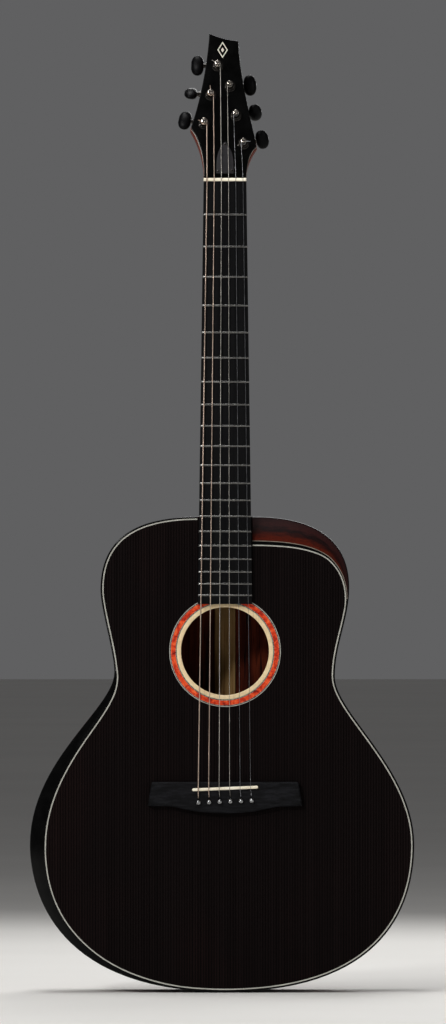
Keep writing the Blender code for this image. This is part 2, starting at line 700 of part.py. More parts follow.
def make_bridge_plate(pin_holes):
    loop = [(60 * MM, -648 * MM), (86 * MM, -690 * MM), (-86 * MM, -690 * MM), (-60 * MM, -648 * MM)]
    plate = add_part("bridge_plate", flat_mesh("bridge_plate", (loop,), BRIDGE_PLATE_THICKNESS), "maple_ring")
    plate.matrix_world = upright(TOP_THICKNESS + GAP + BRIDGE_PLATE_THICKNESS / 2)
    combine(plate, "DIFFERENCE", pin_holes)


def make_pins():
    head, shaft = PIN_HEAD_RADIUS, PIN_SHAFT_RADIUS
    profile = ((0, 4.2 * MM), (0.6 * head, 3.9 * MM), (head, 2.6 * MM), (head, 1.2 * MM), (0.86 * head, GAP),
               (shaft, GAP - 0.2 * MM), (shaft * 0.85, GAP - PIN_LENGTH), (0, GAP - PIN_LENGTH - 1 * MM))
    mesh = turned_mesh("bridge_pin", profile, 10)
    for k in range(6):
        x, z = pin_place(k)
        pin = add_part(f"bridge_pin_{k + 1}", mesh, "gloss_black", smooth=True)
        pin.matrix_world = Matrix.Translation((x, 0, z)) @ upright(-GAP - BRIDGE_HEIGHT)


# ---------------------------------------------------------------- neck

def half_width(z):
    along = -z / FRETBOARD_LENGTH
    return (NUT_WIDTH + (FRETBOARD_END_WIDTH - NUT_WIDTH) * along) / 2


def fret_z(n):
    return -SCALE_LENGTH * (1 - 2 ** (-n / 12))


def make_fretboard():
    """One loft from the nut to the soundhole, which steps up over each fret."""
    def section(z, raise_by):
        half = half_width(z)
        foot = -GAP
        arc = np.linspace(-1, 1, 7) * half
        crown = [(x, foot - FRETBOARD_THICKNESS - raise_by + x * x / (2 * FRETBOARD_RADIUS), z) for x in arc]
        return [(-half, foot, z)] + crown + [(half, foot, z)]

    sections = [section(-GAP, 0)]
    for n in range(1, FRET_COUNT + 1):
        z = fret_z(n)
        for offset, raise_by in ((0.5, 0), (0.25, FRET_HEIGHT), (-0.25, FRET_HEIGHT), (-0.5, 0)):
            sections.append(section(z + offset * FRET_WIDTH, raise_by))
    sections.append(section(-FRETBOARD_LENGTH, 0))
    add_part("fretboard", loft_mesh("fretboard", sections), "ebony")


def head_frame():
    """Frame of the headstock's wooden face: X across, Y up the head, Z out of its face."""
    return Matrix.Translation((0, 0, HEAD_START_Z)) @ Matrix.Rotation(math.radians(90) - HEAD_ANGLE, 4, "X")


def head_loop():
    """Outline of the headstock on its own face, flared at the nut and asymmetric at the tip."""
    bass = list(bezier((-22.9, 0), (-23, 20), (-29, 37), (-37.4, 51.8), 5))
    bass += list(bezier((-37.4, 51.8), (-29, 75), (-19.8, 115), (-16.8, 158.8), 5))[1:]
    tip = [np.array((-3.5, 153.4))]
    treble = list(bezier((14.2, 150.2), (16, 112), (26, 70), (34.3, 32.4), 5))
    treble += list(bezier((34.3, 32.4), (27.5, 22), (23.2, 12), (22.9, 0), 4))[1:]
    return [(point[0] * MM, point[1] * MM) for point in bass + tip + treble]


def make_neck(post_holes):
    """D-shaped shaft that swells into the heel, runs into the headstock and carries the tenon."""
    # height, drop of the top edge, depth below it, squareness of the section, narrowing at the foot
    plan = (
        (24, 5.2, 11.4, 0.7, 0.2), (14, 2.8, 13.4, 0.72, 0.1), (4.9, 0, NECK_DEPTH / MM, 0.75, 0),
        (0, 0, 15, 0.75, 0), (-150, 0, 16, 0.75, 0), (-285, 0, 17.5, 0.75, 0), (-306, 0, 20, 0.7, 0.05),
        (-321, 0, 28, 0.6, 0.15), (-331, 0, 44, 0.5, 0.3), (-337, 0, 68, 0.42, 0.4),
        (-341, 0, HEEL_DEPTH / MM, 0.38, 0.45), (HEEL_FRONT_Z / MM, 0, HEEL_DEPTH / MM, 0.38, 0.45),
    )
    sections = []
    for z, top, depth, power, taper in plan:
        half = min(half_width(z * MM), NUT_WIDTH / 2 + 6 * MM)
        if z > HEAD_START_Z / MM:
            half -= 2 * MM
        turns = np.linspace(0, math.pi, 13)
        section = []
        for turn in turns:
            fall = max(math.sin(turn), 0) ** power
            section.append((-half * math.cos(turn) * (1 - taper * fall), (top + depth * fall) * MM, z * MM))
        sections.append(section)
    neck = add_part("neck", loft_mesh("neck", sections), "neck_wood", smooth=True)
    slab = flat_mesh("head_slab", (head_loop(),), HEAD_THICKNESS)
    slab_place = head_frame() @ Matrix.Translation((0, 0, -HEAD_THICKNESS / 2))
    tenon = box_mesh("tenon", (-TENON_HALF, 6 * MM, TENON_END_Z), (TENON_HALF, TENON_DEPTH, -357 * MM))
    combine(neck, "UNION", add_tool("head_slab", slab, slab_place), add_tool("tenon", tenon))
    channel = box_mesh("rod_channel", (-3.4 * MM, -1 * MM, -352 * MM), (3.4 * MM, 11.5 * MM, 6 * MM))
    pocket = add_tool("rod_pocket", box_mesh("rod_pocket", (-5.5 * MM, -6 * MM, HEAD_START_Z - 0.2 * MM),
                                             (5.5 * MM, 12.4 * MM, 27 * MM)))
    combine(neck, "DIFFERENCE", add_tool("rod_channel", channel), pocket, post_holes)
    return pocket


def make_head_trim(pocket, post_holes):
    plate = add_part("headplate", flat_mesh("headplate", (head_loop(),), HEADPLATE_TOP - GAP), "gloss_black")
    plate.matrix_world = head_frame() @ Matrix.Translation((0, 0, (HEADPLATE_TOP + GAP) / 2))
    combine(plate, "DIFFERENCE", pocket, post_holes)
    side = list(bezier((9.5, 2.0), (9.5, 16), (3.6, 20), (2.6, 33), 6)) + [np.array((1.2, 36.8))]
    loop = [tuple(point * MM) for point in side] + [(-x * MM, y * MM) for x, y in side[::-1]]
    cover_mesh = flat_mesh("truss_rod_cover", (loop,), ROD_COVER_THICKNESS)
    cover = add_part("truss_rod_cover", cover_mesh, "gloss_black")
    height = HEADPLATE_TOP + GAP + ROD_COVER_THICKNESS / 2
    cover.matrix_world = head_frame() @ Matrix.Translation((0, 0, height))


def make_nut():
    mesh = box_mesh("nut", (-NUT_WIDTH / 2, -NUT_TOP, 0), (NUT_WIDTH / 2, -GAP, NUT_THICKNESS))
    nut = add_part("nut", mesh, "bone")
    bevel(nut, 0.9 * MM)


def make_truss_rod():
    side, deep = TRUSS_ROD_HALF_WIDTH, TRUSS_ROD_HALF_DEPTH
    bar = box_mesh("truss_rod", (-side, TRUSS_ROD_Y - deep, -350 * MM), (side, TRUSS_ROD_Y + deep, -2 * MM))
    rod = add_part("truss_rod", bar, "steel")
    axis = ((0, TRUSS_ROD_Y),)
    thread = cylinder_mesh("rod_thread", axis, TRUSS_ROD_THREAD_RADIUS, -4 * MM, 13 * MM)
    combine(rod, "UNION", add_tool("rod_thread", thread))
    hexagon = cylinder_mesh("truss_rod_nut", ((0, 0),), TRUSS_ROD_NUT_RADIUS, 0, TRUSS_ROD_NUT_LENGTH,
                            segments=6)
    nut = add_part("truss_rod_nut", hexagon, "nickel")
    nut.location = (0, TRUSS_ROD_Y, TRUSS_ROD_NUT_Z)
    bore = cylinder_mesh("nut_bore", axis, TRUSS_ROD_THREAD_RADIUS + 0.4 * MM, 4 * MM, 20 * MM)
    combine(nut, "DIFFERENCE", add_tool("nut_bore", bore))


def make_heel_cap():
    side = list(bezier((14.0, -360.5), (14.5, -350), (11, -341.5), (0, -340.5), 7))
    loop = [(x * MM, z * MM) for x, z in side] + [(-x * MM, z * MM) for x, z in side[-2::-1]]
    cap = add_part("heel_cap", flat_mesh("heel_cap", (loop,), HEEL_CAP_THICKNESS), "ebony")
    cap.matrix_world = upright(HEEL_DEPTH + GAP + HEEL_CAP_THICKNESS / 2)


# ---------------------------------------------------------------- tuning machines

def tuner_frame(k):
    """Frame of one tuner: its post on Z, its worm shaft along -X on the bass side and +X on the treble."""
    hand = -1 if k < 3 else 1
    x, up = TUNER_POSTS[k]
    turn = Matrix.Rotation(hand * math.radians(TUNER_ANGLES[k]), 4, "Z")
    return head_frame() @ Matrix.Translation((x, up, 0)) @ turn, hand


def housing_mesh(hand):
    """Hollow gear case with a threaded bushing that passes up through the head to a hex flange."""
    top = -HEAD_THICKNESS - GAP
    low, high = sorted((-HOUSING_TAIL * hand, HOUSING_MOUTH * hand))
    box = box_mesh("case", (low, -HOUSING_LOW, top - HOUSING_DEPTH), (high, HOUSING_HIGH, top))
    case = add_tool(f"case_{hand}", box)
    bevel(case, HOUSING_WALL, angle=80)
    face = HEADPLATE_TOP + GAP
    centre = ((0, 0),)
    bushing_mesh = cylinder_mesh("bushing", centre, BUSHING_RADIUS, top - 1 * MM, face + 1 * MM)
    bushing = add_tool("bushing", bushing_mesh)
    flange_mesh = cylinder_mesh("flange", centre, FLANGE_RADIUS, face, face + FLANGE_THICKNESS, 6)
    flange = add_tool("flange", flange_mesh)
    combine(case, "UNION", bushing, flange)
    inside = box_mesh("hollow", (-6.2 * MM, HOUSING_WALL - HOUSING_LOW, top - HOUSING_DEPTH + HOUSING_WALL),
                      (6.2 * MM, HOUSING_HIGH - HOUSING_WALL, top - HOUSING_WALL))
    hollow = add_tool("hollow", inside)
    bore = add_tool("post_bore", cylinder_mesh("post_bore", ((0, 0),), POST_RADIUS + 0.4 * MM, top - 3 * MM,
                                               HEADPLATE_TOP + 8 * MM))
    shaft = add_tool("shaft_bore", cylinder_mesh("shaft_bore", ((0, 0),), 2.7 * MM, 4 * MM, 14 * MM))
    shaft.matrix_world = (Matrix.Translation((0, WORM_OFFSET, WORM_LEVEL))
                          @ Matrix.Rotation(math.radians(90) * hand, 4, "Y"))
    combine(case, "DIFFERENCE", hollow, bore, shaft)
    return baked(case)


def post_mesh():
    """Post with a waist for the string, and the worm wheel at its foot."""
    radius = POST_RADIUS
    profile = ((0, POST_TOP), (0.7 * radius, POST_TOP), (radius, POST_TOP - 0.8 * MM), (radius, 12.6 * MM),
               (POST_WAIST * radius, POST_WAIST_HIGH), (POST_WAIST * radius, POST_WAIST_LOW),
               (radius, 7.2 * MM), (radius, -17.5 * MM),
               (0.6 * radius, -18 * MM), (0.6 * radius, -23 * MM), (0, -23 * MM))
    post = add_tool("post", turned_mesh("post", profile, 10))
    turns = np.linspace(0, 2 * math.pi, 2 * GEAR_TEETH, endpoint=False)
    rim = [(GEAR_RADIUS if i % 2 else GEAR_RADIUS - 0.7 * MM) for i in range(2 * GEAR_TEETH)]
    loop = [(r * math.cos(turn), r * math.sin(turn)) for r, turn in zip(rim, turns)]
    wheel = flat_mesh("worm_wheel", (loop,), 3 * MM)
    combine(post, "UNION", add_tool("worm_wheel", wheel, Matrix.Translation((0, 0, WORM_LEVEL))))
    return baked(post)


def button_mesh():
    """Oval grip on its shaft, with the plain core of the worm at the other end; the shaft is along Z."""
    turns = np.linspace(0, 2 * math.pi, 14, endpoint=False)

    def oval(height, long_half, thick_half):
        return [(long_half * math.cos(t), thick_half * math.sin(t), height) for t in turns]

    near = BUTTON_REACH - BUTTON_DEPTH / 2
    far = near + BUTTON_DEPTH
    long_half, thick_half = BUTTON_LENGTH / 2, BUTTON_THICKNESS / 2
    shaft = 2.1 * MM
    sections = [
        oval(-5.6 * MM, WORM_RADIUS, WORM_RADIUS), oval(5.8 * MM, WORM_RADIUS, WORM_RADIUS),
        oval(5.9 * MM, shaft, shaft), oval(near - 0.1 * MM, shaft, shaft),
        oval(near, 0.62 * long_half, 0.5 * thick_half),
        oval(near + 1.4 * MM, 0.86 * long_half, 0.82 * thick_half),
        oval(near + 4.4 * MM, long_half, thick_half), oval(far - 3.8 * MM, 0.96 * long_half, thick_half),
        oval(far - 1.2 * MM, 0.78 * long_half, 0.72 * thick_half),
        oval(far, 0.45 * long_half, 0.36 * thick_half),
    ]
    return loft_mesh("button", sections)


def make_tuners():
    housings = {hand: housing_mesh(hand) for hand in (-1, 1)}
    posts = post_mesh()
    buttons = button_mesh()
    for k in range(6):
        frame, hand = tuner_frame(k)
        add_part(f"tuner_housing_{k + 1}", housings[hand], "nickel").matrix_world = frame
        add_part(f"tuner_post_{k + 1}", posts, "nickel", smooth=True).matrix_world = frame
        button = add_part(f"tuner_button_{k + 1}", buttons, "gloss_black", smooth=True)
        along_shaft = Matrix.Rotation(math.radians(90) * hand, 4, "Y")
        at_rest = Matrix.Rotation(math.radians(90 + BUTTON_REST_TURNS[k]), 4, "Z")
        button.matrix_world = frame @ Matrix.Translation((0, WORM_OFFSET, WORM_LEVEL)) @ along_shaft @ at_rest


# ---------------------------------------------------------------- strings

def make_string(k):
    """From the pin over the saddle and the nut to the inner side of its post."""
    radius = STRING_DIAMETERS[k] / 2
    clear = radius + GAP
    pin_x, pin_z = pin_place(k)
    saddle_x = spread(STRING_SPREAD_AT_SADDLE, k) - 0.7 * MM
    nut_x = spread(STRING_SPREAD_AT_NUT, k)
    bridge_face = -GAP - BRIDGE_HEIGHT
    frame, _ = tuner_frame(k)
    waist = frame @ Vector((0, 0, 9.5 * MM))
    inner = -math.copysign(0.86 * POST_RADIUS + clear, TUNER_POSTS[k][0])
    route = [
        (pin_x, bridge_face - clear, pin_z + PIN_HEAD_RADIUS + clear),
        (saddle_x, -SADDLE_TOP - clear, saddle_z(saddle_x) - SADDLE_THICKNESS / 2),
        (saddle_x, -SADDLE_TOP - clear, saddle_z(saddle_x) + SADDLE_THICKNESS / 2),
        (nut_x, -NUT_TOP - clear, -GAP),
        (nut_x, -NUT_TOP - clear, NUT_THICKNESS),
        (waist.x + inner, waist.y, waist.z),
    ]
    curve = bpy.data.curves.new(f"string_{STRING_NAMES[k]}", "CURVE")
    curve.dimensions = "3D"
    curve.bevel_depth = radius
    curve.bevel_resolution = 2
    curve.use_fill_caps = True
    spline = curve.splines.new("POLY")
    spline.points.add(len(route) - 1)
    for point, place in zip(spline.points, route):
        point.co = (*place, 1)
    add_part(curve.name, curve, "bronze_string" if k < 4 else "plain_string")


# ---------------------------------------------------------------- assembly

def main():
    clear_scene()
    bass = Rim(-1, BASS_SIDE, ARM_BEVEL, ARM_BEVEL_DROP)
    treble = Rim(1, TREBLE_SIDE, CUTAWAY_BEVEL, CUTAWAY_BEVEL_DROP)
    pins = [pin_place(k) for k in range(6)]
    holes = cylinder_mesh("pin_holes", pins, PIN_HOLE_RADIUS, -30 * MM, 30 * MM, 10)
    pin_holes = add_tool("pin_holes", holes, upright(0))
    shafts = cylinder_mesh("post_holes", TUNER_POSTS, POST_HOLE_RADIUS, -20 * MM, 20 * MM)
    post_holes = add_tool("post_holes", shafts, head_frame())
    make_soundboard(bass, treble, pin_holes)
    make_top_trim(bass, treble)
    make_rings()
    make_back(bass, treble)
    make_side(bass, "side_bass")
    make_side(treble, "side_treble")
    make_bevel(bass, "arm_bevel", "black_binding")
    make_bevel(treble, "cutaway_bevel", "rosewood")
    make_lining(bass, "lining_bass", (6, 15, 24))
    make_lining(treble, "lining_treble", (10, 15, 24))
    make_blocks()
    make_braces()
    make_back_bracing()
    make_bridge(pin_holes)
    make_bridge_plate(pin_holes)
    make_pins()
    make_fretboard()
    make_nut()
    pocket = make_neck(post_holes)
    make_head_trim(pocket, post_holes)
    make_truss_rod()
    make_heel_cap()
    make_tuners()
    for k in range(6):
        make_string(k)


main()
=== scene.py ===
"""Looks of the acoustic guitar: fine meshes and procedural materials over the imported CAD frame."""

import math

import bmesh
import bpy
import numpy as np
from mathutils import Matrix, Vector
from mathutils.geometry import tessellate_polygon


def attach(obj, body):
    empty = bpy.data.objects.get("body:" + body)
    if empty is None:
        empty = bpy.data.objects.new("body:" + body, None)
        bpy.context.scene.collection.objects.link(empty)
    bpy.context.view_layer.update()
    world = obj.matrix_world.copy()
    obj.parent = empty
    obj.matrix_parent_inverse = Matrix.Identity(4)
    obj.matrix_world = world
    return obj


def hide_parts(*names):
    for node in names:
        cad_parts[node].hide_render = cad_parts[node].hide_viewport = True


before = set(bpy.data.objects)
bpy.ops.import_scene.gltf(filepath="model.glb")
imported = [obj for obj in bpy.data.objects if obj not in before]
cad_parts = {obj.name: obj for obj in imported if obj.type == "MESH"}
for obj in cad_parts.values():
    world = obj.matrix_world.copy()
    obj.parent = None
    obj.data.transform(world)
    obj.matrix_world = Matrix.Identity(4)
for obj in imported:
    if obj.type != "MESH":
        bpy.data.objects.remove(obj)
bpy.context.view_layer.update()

MM = 0.001

# Scale, fretboard and strings
SCALE_LENGTH = 650 * MM
FRET_COUNT = 20
NUT_WIDTH = 45.9 * MM
NUT_THICKNESS = 4.6 * MM
NUT_FRONT_Z = -0.55 * MM
NUT_BACK_Z = 2.8 * MM
NUT_TOP = 8.0 * MM
FRETBOARD_LENGTH = 454.8 * MM
FRETBOARD_END_WIDTH = 58.5 * MM
FRETBOARD_THICKNESS = 6.3 * MM
FRETBOARD_RADIUS = 406 * MM
FRET_HEIGHT = 1.1 * MM
FRET_WIDTH = 2.2 * MM
STRING_NAMES = ("low_e", "a", "d", "g", "b", "high_e")
STRING_DIAMETERS = (1.35 * MM, 1.07 * MM, 0.81 * MM, 0.61 * MM, 0.46 * MM, 0.40 * MM)
STRING_SPREAD_AT_NUT = 38.6 * MM
STRING_SPREAD_AT_SADDLE = 56.2 * MM

# Body
BODY_TOP_Z = -361.0 * MM
BODY_TAIL_Z = -871.4 * MM
NECK_POCKET_HALF = 15.6 * MM
NECK_SHOULDER_HALF = 29.6 * MM
TAIL_GRAFT_HALF = 6.0 * MM
BASS_SIDE = {
    "upper": (133.8, -439.2), "waist": (118.9, -528.0), "lower": (209.8, -714.0),
    "handles": (72, 51, 21, 21, 39, 92, 55, 178),
}
TREBLE_SIDE = {
    "upper": (133.5, -437.2), "waist": (118.0, -532.7), "lower": (203.4, -713.9),
    "handles": (57, 59, 33, 34, 39, 82, 61, 175),
}
STRETCH_STEPS = (26, 16, 26, 30)
DEPTH_AT_NECK = 100 * MM
DEPTH_AT_TAIL = 120 * MM
TOP_THICKNESS = 2.8 * MM
GROWTH_LINE_SPACING = 2.9 * MM
BACK_THICKNESS = 2.8 * MM
SIDE_THICKNESS = 2.2 * MM
BINDING_WIDTH = 2.0 * MM
BINDING_HEIGHT = 6.0 * MM
PURFLING_WIDTH = 1.3 * MM
SEAM_HALF = 1.2 * MM
NECK_BLOCK_END_Z = -415 * MM
ARM_BEVEL = ((0.31, 0.0), (0.35, 4.6), (0.44, 9.4), (0.59, 14.2), (0.74, 8.6), (0.87, 2.2), (0.95, 0.0))
ARM_BEVEL_DROP = 0.85
CUTAWAY_BEVEL = ((0.0, 28.0), (0.045, 27.0), (0.11, 20.4), (0.155, 11.0), (0.185, 4.6), (0.23, 0.0))
CUTAWAY_BEVEL_DROP = 0.72

# Soundhole, bridge and pins
SOUNDHOLE_Z = -505.4 * MM
SOUNDHOLE_RADIUS = 47.2 * MM
HOLE_BINDING_RADIUS = 52.0 * MM
ROSETTE_RADIUS = 59.9 * MM
ROSETTE_RINGS = (ROSETTE_RADIUS, 59.2 * MM, 58.6 * MM, 58.2 * MM, 53.1 * MM, 52.7 * MM, 52.4 * MM,
                 HOLE_BINDING_RADIUS)
BRIDGE_TOP_Z = -645.8 * MM
BRIDGE_SHOULDER_Z = -671.7 * MM
BRIDGE_BELLY_Z = -679.6 * MM
BRIDGE_HALF_TOP = 79 * MM
BRIDGE_HALF_BOTTOM = 83 * MM
BRIDGE_HEIGHT = 9.5 * MM
SADDLE_BASS = (-35.3 * MM, -654.3 * MM)
SADDLE_TREBLE = (35.7 * MM, -651.3 * MM)
SADDLE_THICKNESS = 3.2 * MM
SADDLE_TOP = 12.6 * MM
PIN_Z_BASS = -668.0 * MM
PIN_Z_TREBLE = -665.9 * MM
PIN_SPREAD = 57.1 * MM
PIN_HEAD_RADIUS = 2.9 * MM

# Neck, headstock and tuning machines
HEAD_ANGLE = math.radians(14)
HEAD_START_Z = 4.9 * MM
HEAD_THICKNESS = 13.0 * MM
HEADPLATE_TOP = 2.5 * MM
HEEL_DEPTH = 97.0 * MM
HEEL_FRONT_Z = -360.8 * MM
TUNER_POSTS = (  # across and up the headstock's face
    (-22.5 * MM, 58.0 * MM), (-15.3 * MM, 90.2 * MM), (-7.8 * MM, 122.6 * MM),
    (5.2 * MM, 99.8 * MM), (11.8 * MM, 67.2 * MM), (19.9 * MM, 35.7 * MM),
)
TUNER_ANGLES = (11, 5, 2, 4, 10, 14)
BUTTON_REST_TURNS = (16, 52, 2, 14, 56, 42)
POST_RADIUS = 3.0 * MM
POST_TOP = 15.0 * MM
WORM_OFFSET = 5.4 * MM
WORM_LEVEL = -19.8 * MM
BUTTON_REACH = 22.1 * MM
BUTTON_LENGTH = 22.5 * MM
BUTTON_DEPTH = 13.4 * MM
BUTTON_THICKNESS = 9.4 * MM
BUSHING_BORE = 3.4 * MM
CASE_DEPTH = 12.5 * MM
CASE_ENDS = (8.2 * MM, 9.6 * MM)
CASE_SIDES = (-7.2 * MM, 10.2 * MM)

# Each string's winding on its post, and the direction and length of its clipped end in degrees and millimetres
STRING_LEVEL = 8.3 * MM
STRING_END_LEVEL = 11.9 * MM
POST_WAIST = 0.79
STRING_TURNS = (2.3, 2.4, 2.4, 2.6, 3.2, 3.2)
STRING_ENDS = ((172, 6.6), (96, 7.4), (152, 7.2), (214, 4.4), (186, 5.0), (-4, 7.4))
STRING_LOOKS = ("bronze", "bronze", "wrap_d", "wrap_d", "plain", "plain")
STRING_SLOTS = ("bronze_string",) * 4 + ("plain_string",) * 2

# Camera, studio lights and floor
VIEW_HEIGHT = 1100.2 * MM
CAMERA_DISTANCE = 16.0
CAMERA_PLACE = (-2.15 * MM, -CAMERA_DISTANCE, -355.9 * MM)
GUITAR_CENTRE = (0, 0.05, -0.4)
BUSHINGS_CENTRE = (0, 0, 0.05)
LIGHTS = (  # name, place, target, size in metres, power in watts
    ("key", (-1.5, -1.7, 1.35), GUITAR_CENTRE, (1.1, 1.1), 25),
    ("front", (-2.3, -5.0, 2.0), GUITAR_CENTRE, (0.6, 0.6), 128),
    ("fill", (2.0, -1.9, 0.3), GUITAR_CENTRE, (1.4, 1.8), 10),
    ("top", (-0.3, 0.1, 1.9), GUITAR_CENTRE, (1.6, 0.8), 36),
    ("kick", (-1.1, -2.4, -0.75), BUSHINGS_CENTRE, (0.09, 0.09), 3),
    ("rear", (0.6, 2.2, 0.8), GUITAR_CENTRE, (1.6, 1.2), 30),
)
WORLD_COLOUR = (222, 222, 224)
WORLD_STRENGTH = 0.16
FLOOR_HALF = 30
FLOOR_GAP = 1 * MM
SHARP_EDGE = math.radians(38)


# ---------------------------------------------------------------- procedural materials

def srgb(red, green, blue):
    """A colour given as 0 to 255 sRGB values, in the linear values that shaders take."""
    linear = []
    for value in (red, green, blue):
        value /= 255
        linear.append(value / 12.92 if value <= 0.04045 else ((value + 0.055) / 1.055) ** 2.4)
    return (*linear, 1.0)


class Surface:
    """A Principled material with the node calls that build its colour, roughness and bump."""

    def __init__(self, name, roughness, metallic=0.0, specular=0.5, coat=0.0, coat_roughness=0.1):
        self.material = bpy.data.materials.new(name)
        self.material.use_nodes = True
        self.tree = self.material.node_tree
        self.shader = self.tree.nodes["Principled BSDF"]
        self.shader.inputs["Roughness"].default_value = roughness
        self.shader.inputs["Metallic"].default_value = metallic
        self.shader.inputs["Specular IOR Level"].default_value = specular
        self.shader.inputs["Coat Weight"].default_value = coat
        self.shader.inputs["Coat Roughness"].default_value = coat_roughness

    def node(self, kind, links=(), **settings):
        made = self.tree.nodes.new(kind)
        for key, value in settings.items():
            setattr(made, key, value)
        for socket, source in links:
            if isinstance(source, bpy.types.NodeSocket):
                self.tree.links.new(source, made.inputs[socket])
            else:
                made.inputs[socket].default_value = source
        return made

    def coords(self, scale=(1, 1, 1), turn=(0, 0, 0), uv=False):
        """Positions in metres in the guitar's frame, or along and across a strip."""
        if uv:
            source = self.node("ShaderNodeUVMap", uv_map="along").outputs["UV"]
        else:
            source = self.node("ShaderNodeTexCoord").outputs["Object"]
        mapping = self.node("ShaderNodeMapping", (("Vector", source), ("Scale", scale), ("Rotation", turn)))
        return mapping.outputs["Vector"]

    def noise(self, grain, detail=3.0, roughness=0.5, distortion=0.0, turn=(0, 0, 0), uv=False):
        """Noise with the given number of features to the metre along each axis."""
        vector = self.coords(grain, turn, uv)
        made = self.node("ShaderNodeTexNoise", (("Vector", vector), ("Scale", 1.0), ("Detail", detail),
                                                ("Roughness", roughness), ("Distortion", distortion)))
        return made.outputs["Fac"]

    def waves(self, vector, spacing, distortion=0.0, detail_scale=1.0):
        """Bands across X, one every spacing metres."""
        made = self.node("ShaderNodeTexWave", (("Vector", vector), ("Scale", math.pi / (10 * spacing)),
                                               ("Distortion", distortion), ("Detail Scale", detail_scale)))
        return made.outputs["Fac"]

    def axis(self, vector, name):
        return self.node("ShaderNodeSeparateXYZ", ((0, vector),)).outputs[name]

    def maths(self, operation, a, b=0.0):
        return self.node("ShaderNodeMath", ((0, a), (1, b)), operation=operation).outputs[0]

    def ramp(self, factor, stops):
        made = self.node("ShaderNodeValToRGB", (("Fac", factor),))
        elements = made.color_ramp.elements
        while len(elements) < len(stops):
            elements.new(0.5)
        for element, (position, colour) in zip(elements, stops):
            element.position = position
            element.color = srgb(*colour)
        return made.outputs["Color"]

    def mask(self, factor, low, high):
        """0 below low and 1 above high."""
        made = self.node("ShaderNodeMapRange", (("Value", factor), ("From Min", low), ("From Max", high)))
        return made.outputs["Result"]

    def blend(self, factor, a, b):
        if isinstance(b, tuple):
            b = srgb(*b)
        return self.node("ShaderNodeMix", ((0, factor), (6, a), (7, b)), data_type="RGBA").outputs[2]

    def paint(self, colour):
        self.tree.links.new(colour, self.shader.inputs["Base Color"])

    def rough(self, factor, low, high):
        made = self.node("ShaderNodeMapRange", (("Value", factor), ("To Min", low), ("To Max", high)))
        self.tree.links.new(made.outputs["Result"], self.shader.inputs["Roughness"])

    def bump(self, height, distance, strength=1.0):
        made = self.node("ShaderNodeBump",
                         (("Height", height), ("Distance", distance), ("Strength", strength)))
        self.tree.links.new(made.outputs["Normal"], self.shader.inputs["Normal"])


def soundboard_wood():
    """Black-stained softwood: straight growth lines a few millimetres apart, with faint brown patches."""
    s = Surface("soundboard_wood", 0.5, specular=0.03)
    rings = s.waves(s.coords((1, 0.2, 0.004)), GROWTH_LINE_SPACING, 1.5, 0.6)
    broad = s.noise((240, 30, 1.6), detail=2.0)
    patches = s.noise((9, 9, 5), detail=2.0)
    fibres = s.noise((2600, 200, 34))
    grain = s.blend(0.32, rings, s.mask(broad, 0.3, 0.7))
    black = s.ramp(grain, ((0.1, (3, 1, 1)), (0.5, (9, 5, 5)), (0.9, (17, 11, 11))))
    brown = s.ramp(grain, ((0.1, (4, 1, 1)), (0.5, (12, 6, 6)), (0.9, (23, 13, 12))))
    s.paint(s.blend(s.mask(patches, 0.5, 0.72), black, brown))
    s.rough(fibres, 0.42, 0.62)
    s.bump(grain, 0.00006, 0.5)
    return s.material


def rosewood(name, uv=False, gloss=0.16, specular=0.25, coat=0.2):
    """Dark red-brown rosewood, lacquered or raw, with inky streaks along the grain."""
    s = Surface(name, gloss, specular=specular, coat=coat, coat_roughness=0.06)
    along = (3.0, 60, 1) if uv else (60, 60, 3.0)
    fine = (24, 1500, 1) if uv else (1500, 600, 24)
    figure = s.noise(along, distortion=0.9, uv=uv)
    ink = s.noise(tuple(2.3 * a for a in along), detail=4.0, distortion=1.6, uv=uv)
    pores = s.noise(fine, detail=2.0, uv=uv)
    base = s.ramp(figure, ((0.28, (34, 13, 10)), (0.46, (74, 28, 17)), (0.58, (98, 40, 23)),
                           (0.76, (58, 22, 15))))
    dark = s.blend(s.mask(ink, 0.52, 0.66), base, (22, 11, 11))
    s.paint(s.blend(s.mask(pores, 0.6, 0.72), dark, (18, 9, 8)))
    s.rough(pores, gloss * 0.9, gloss * 1.9)
    s.bump(pores, 0.00003, 0.25)
    return s.material


def bevel_rosewood():
    """The cutaway's veneer: streaks follow its curve, with a painted purple-grey sheen along the outer edge,
    inky beyond it and deep red inside.
    """
    s = Surface("bevel_rosewood", 0.4, specular=0.04)
    uv = s.coords(uv=True)
    streaks = s.noise((7, 9, 1), distortion=0.5, uv=True)
    fine = s.noise((30, 70, 1), uv=True)
    across = s.maths("ADD", s.axis(uv, "Y"), s.maths("MULTIPLY", s.maths("SUBTRACT", streaks, 0.5), 0.5))
    # The first two stops, purple-grey at the outer edge, are a painted sheen; the later stops are the veneer's
    # own inky and red tone.
    colour = s.ramp(across, ((0.0, (36, 19, 19)), (0.2, (44, 20, 19)), (0.36, (20, 11, 11)),
                             (0.5, (40, 14, 11)), (0.66, (66, 20, 10)), (0.84, (74, 22, 10)),
                             (1.0, (44, 17, 14))))
    s.paint(s.blend(s.mask(fine, 0.5, 0.75), colour, (14, 7, 7)))
    s.rough(fine, 0.34, 0.5)
    s.bump(fine, 0.00002, 0.3)
    return s.material


def figured(name, roughness, specular, broad, stops, fine, marks, spot, polish, relief, carved=False):
    """Colours that follow a broad noise, with spots, gloss and relief that follow a finer one.

    marks gives the levels of the fine noise between which the spot colour comes in. A carved surface takes its
    relief from the broad noise instead.
    """
    s = Surface(name, roughness, specular=specular)
    figure = s.noise(**broad)
    grain = s.noise(**fine)
    s.paint(s.blend(s.mask(grain, *marks), s.ramp(figure, stops), spot))
    s.rough(grain, *polish)
    s.bump(figure if carved else grain, *relief)
    return s.material


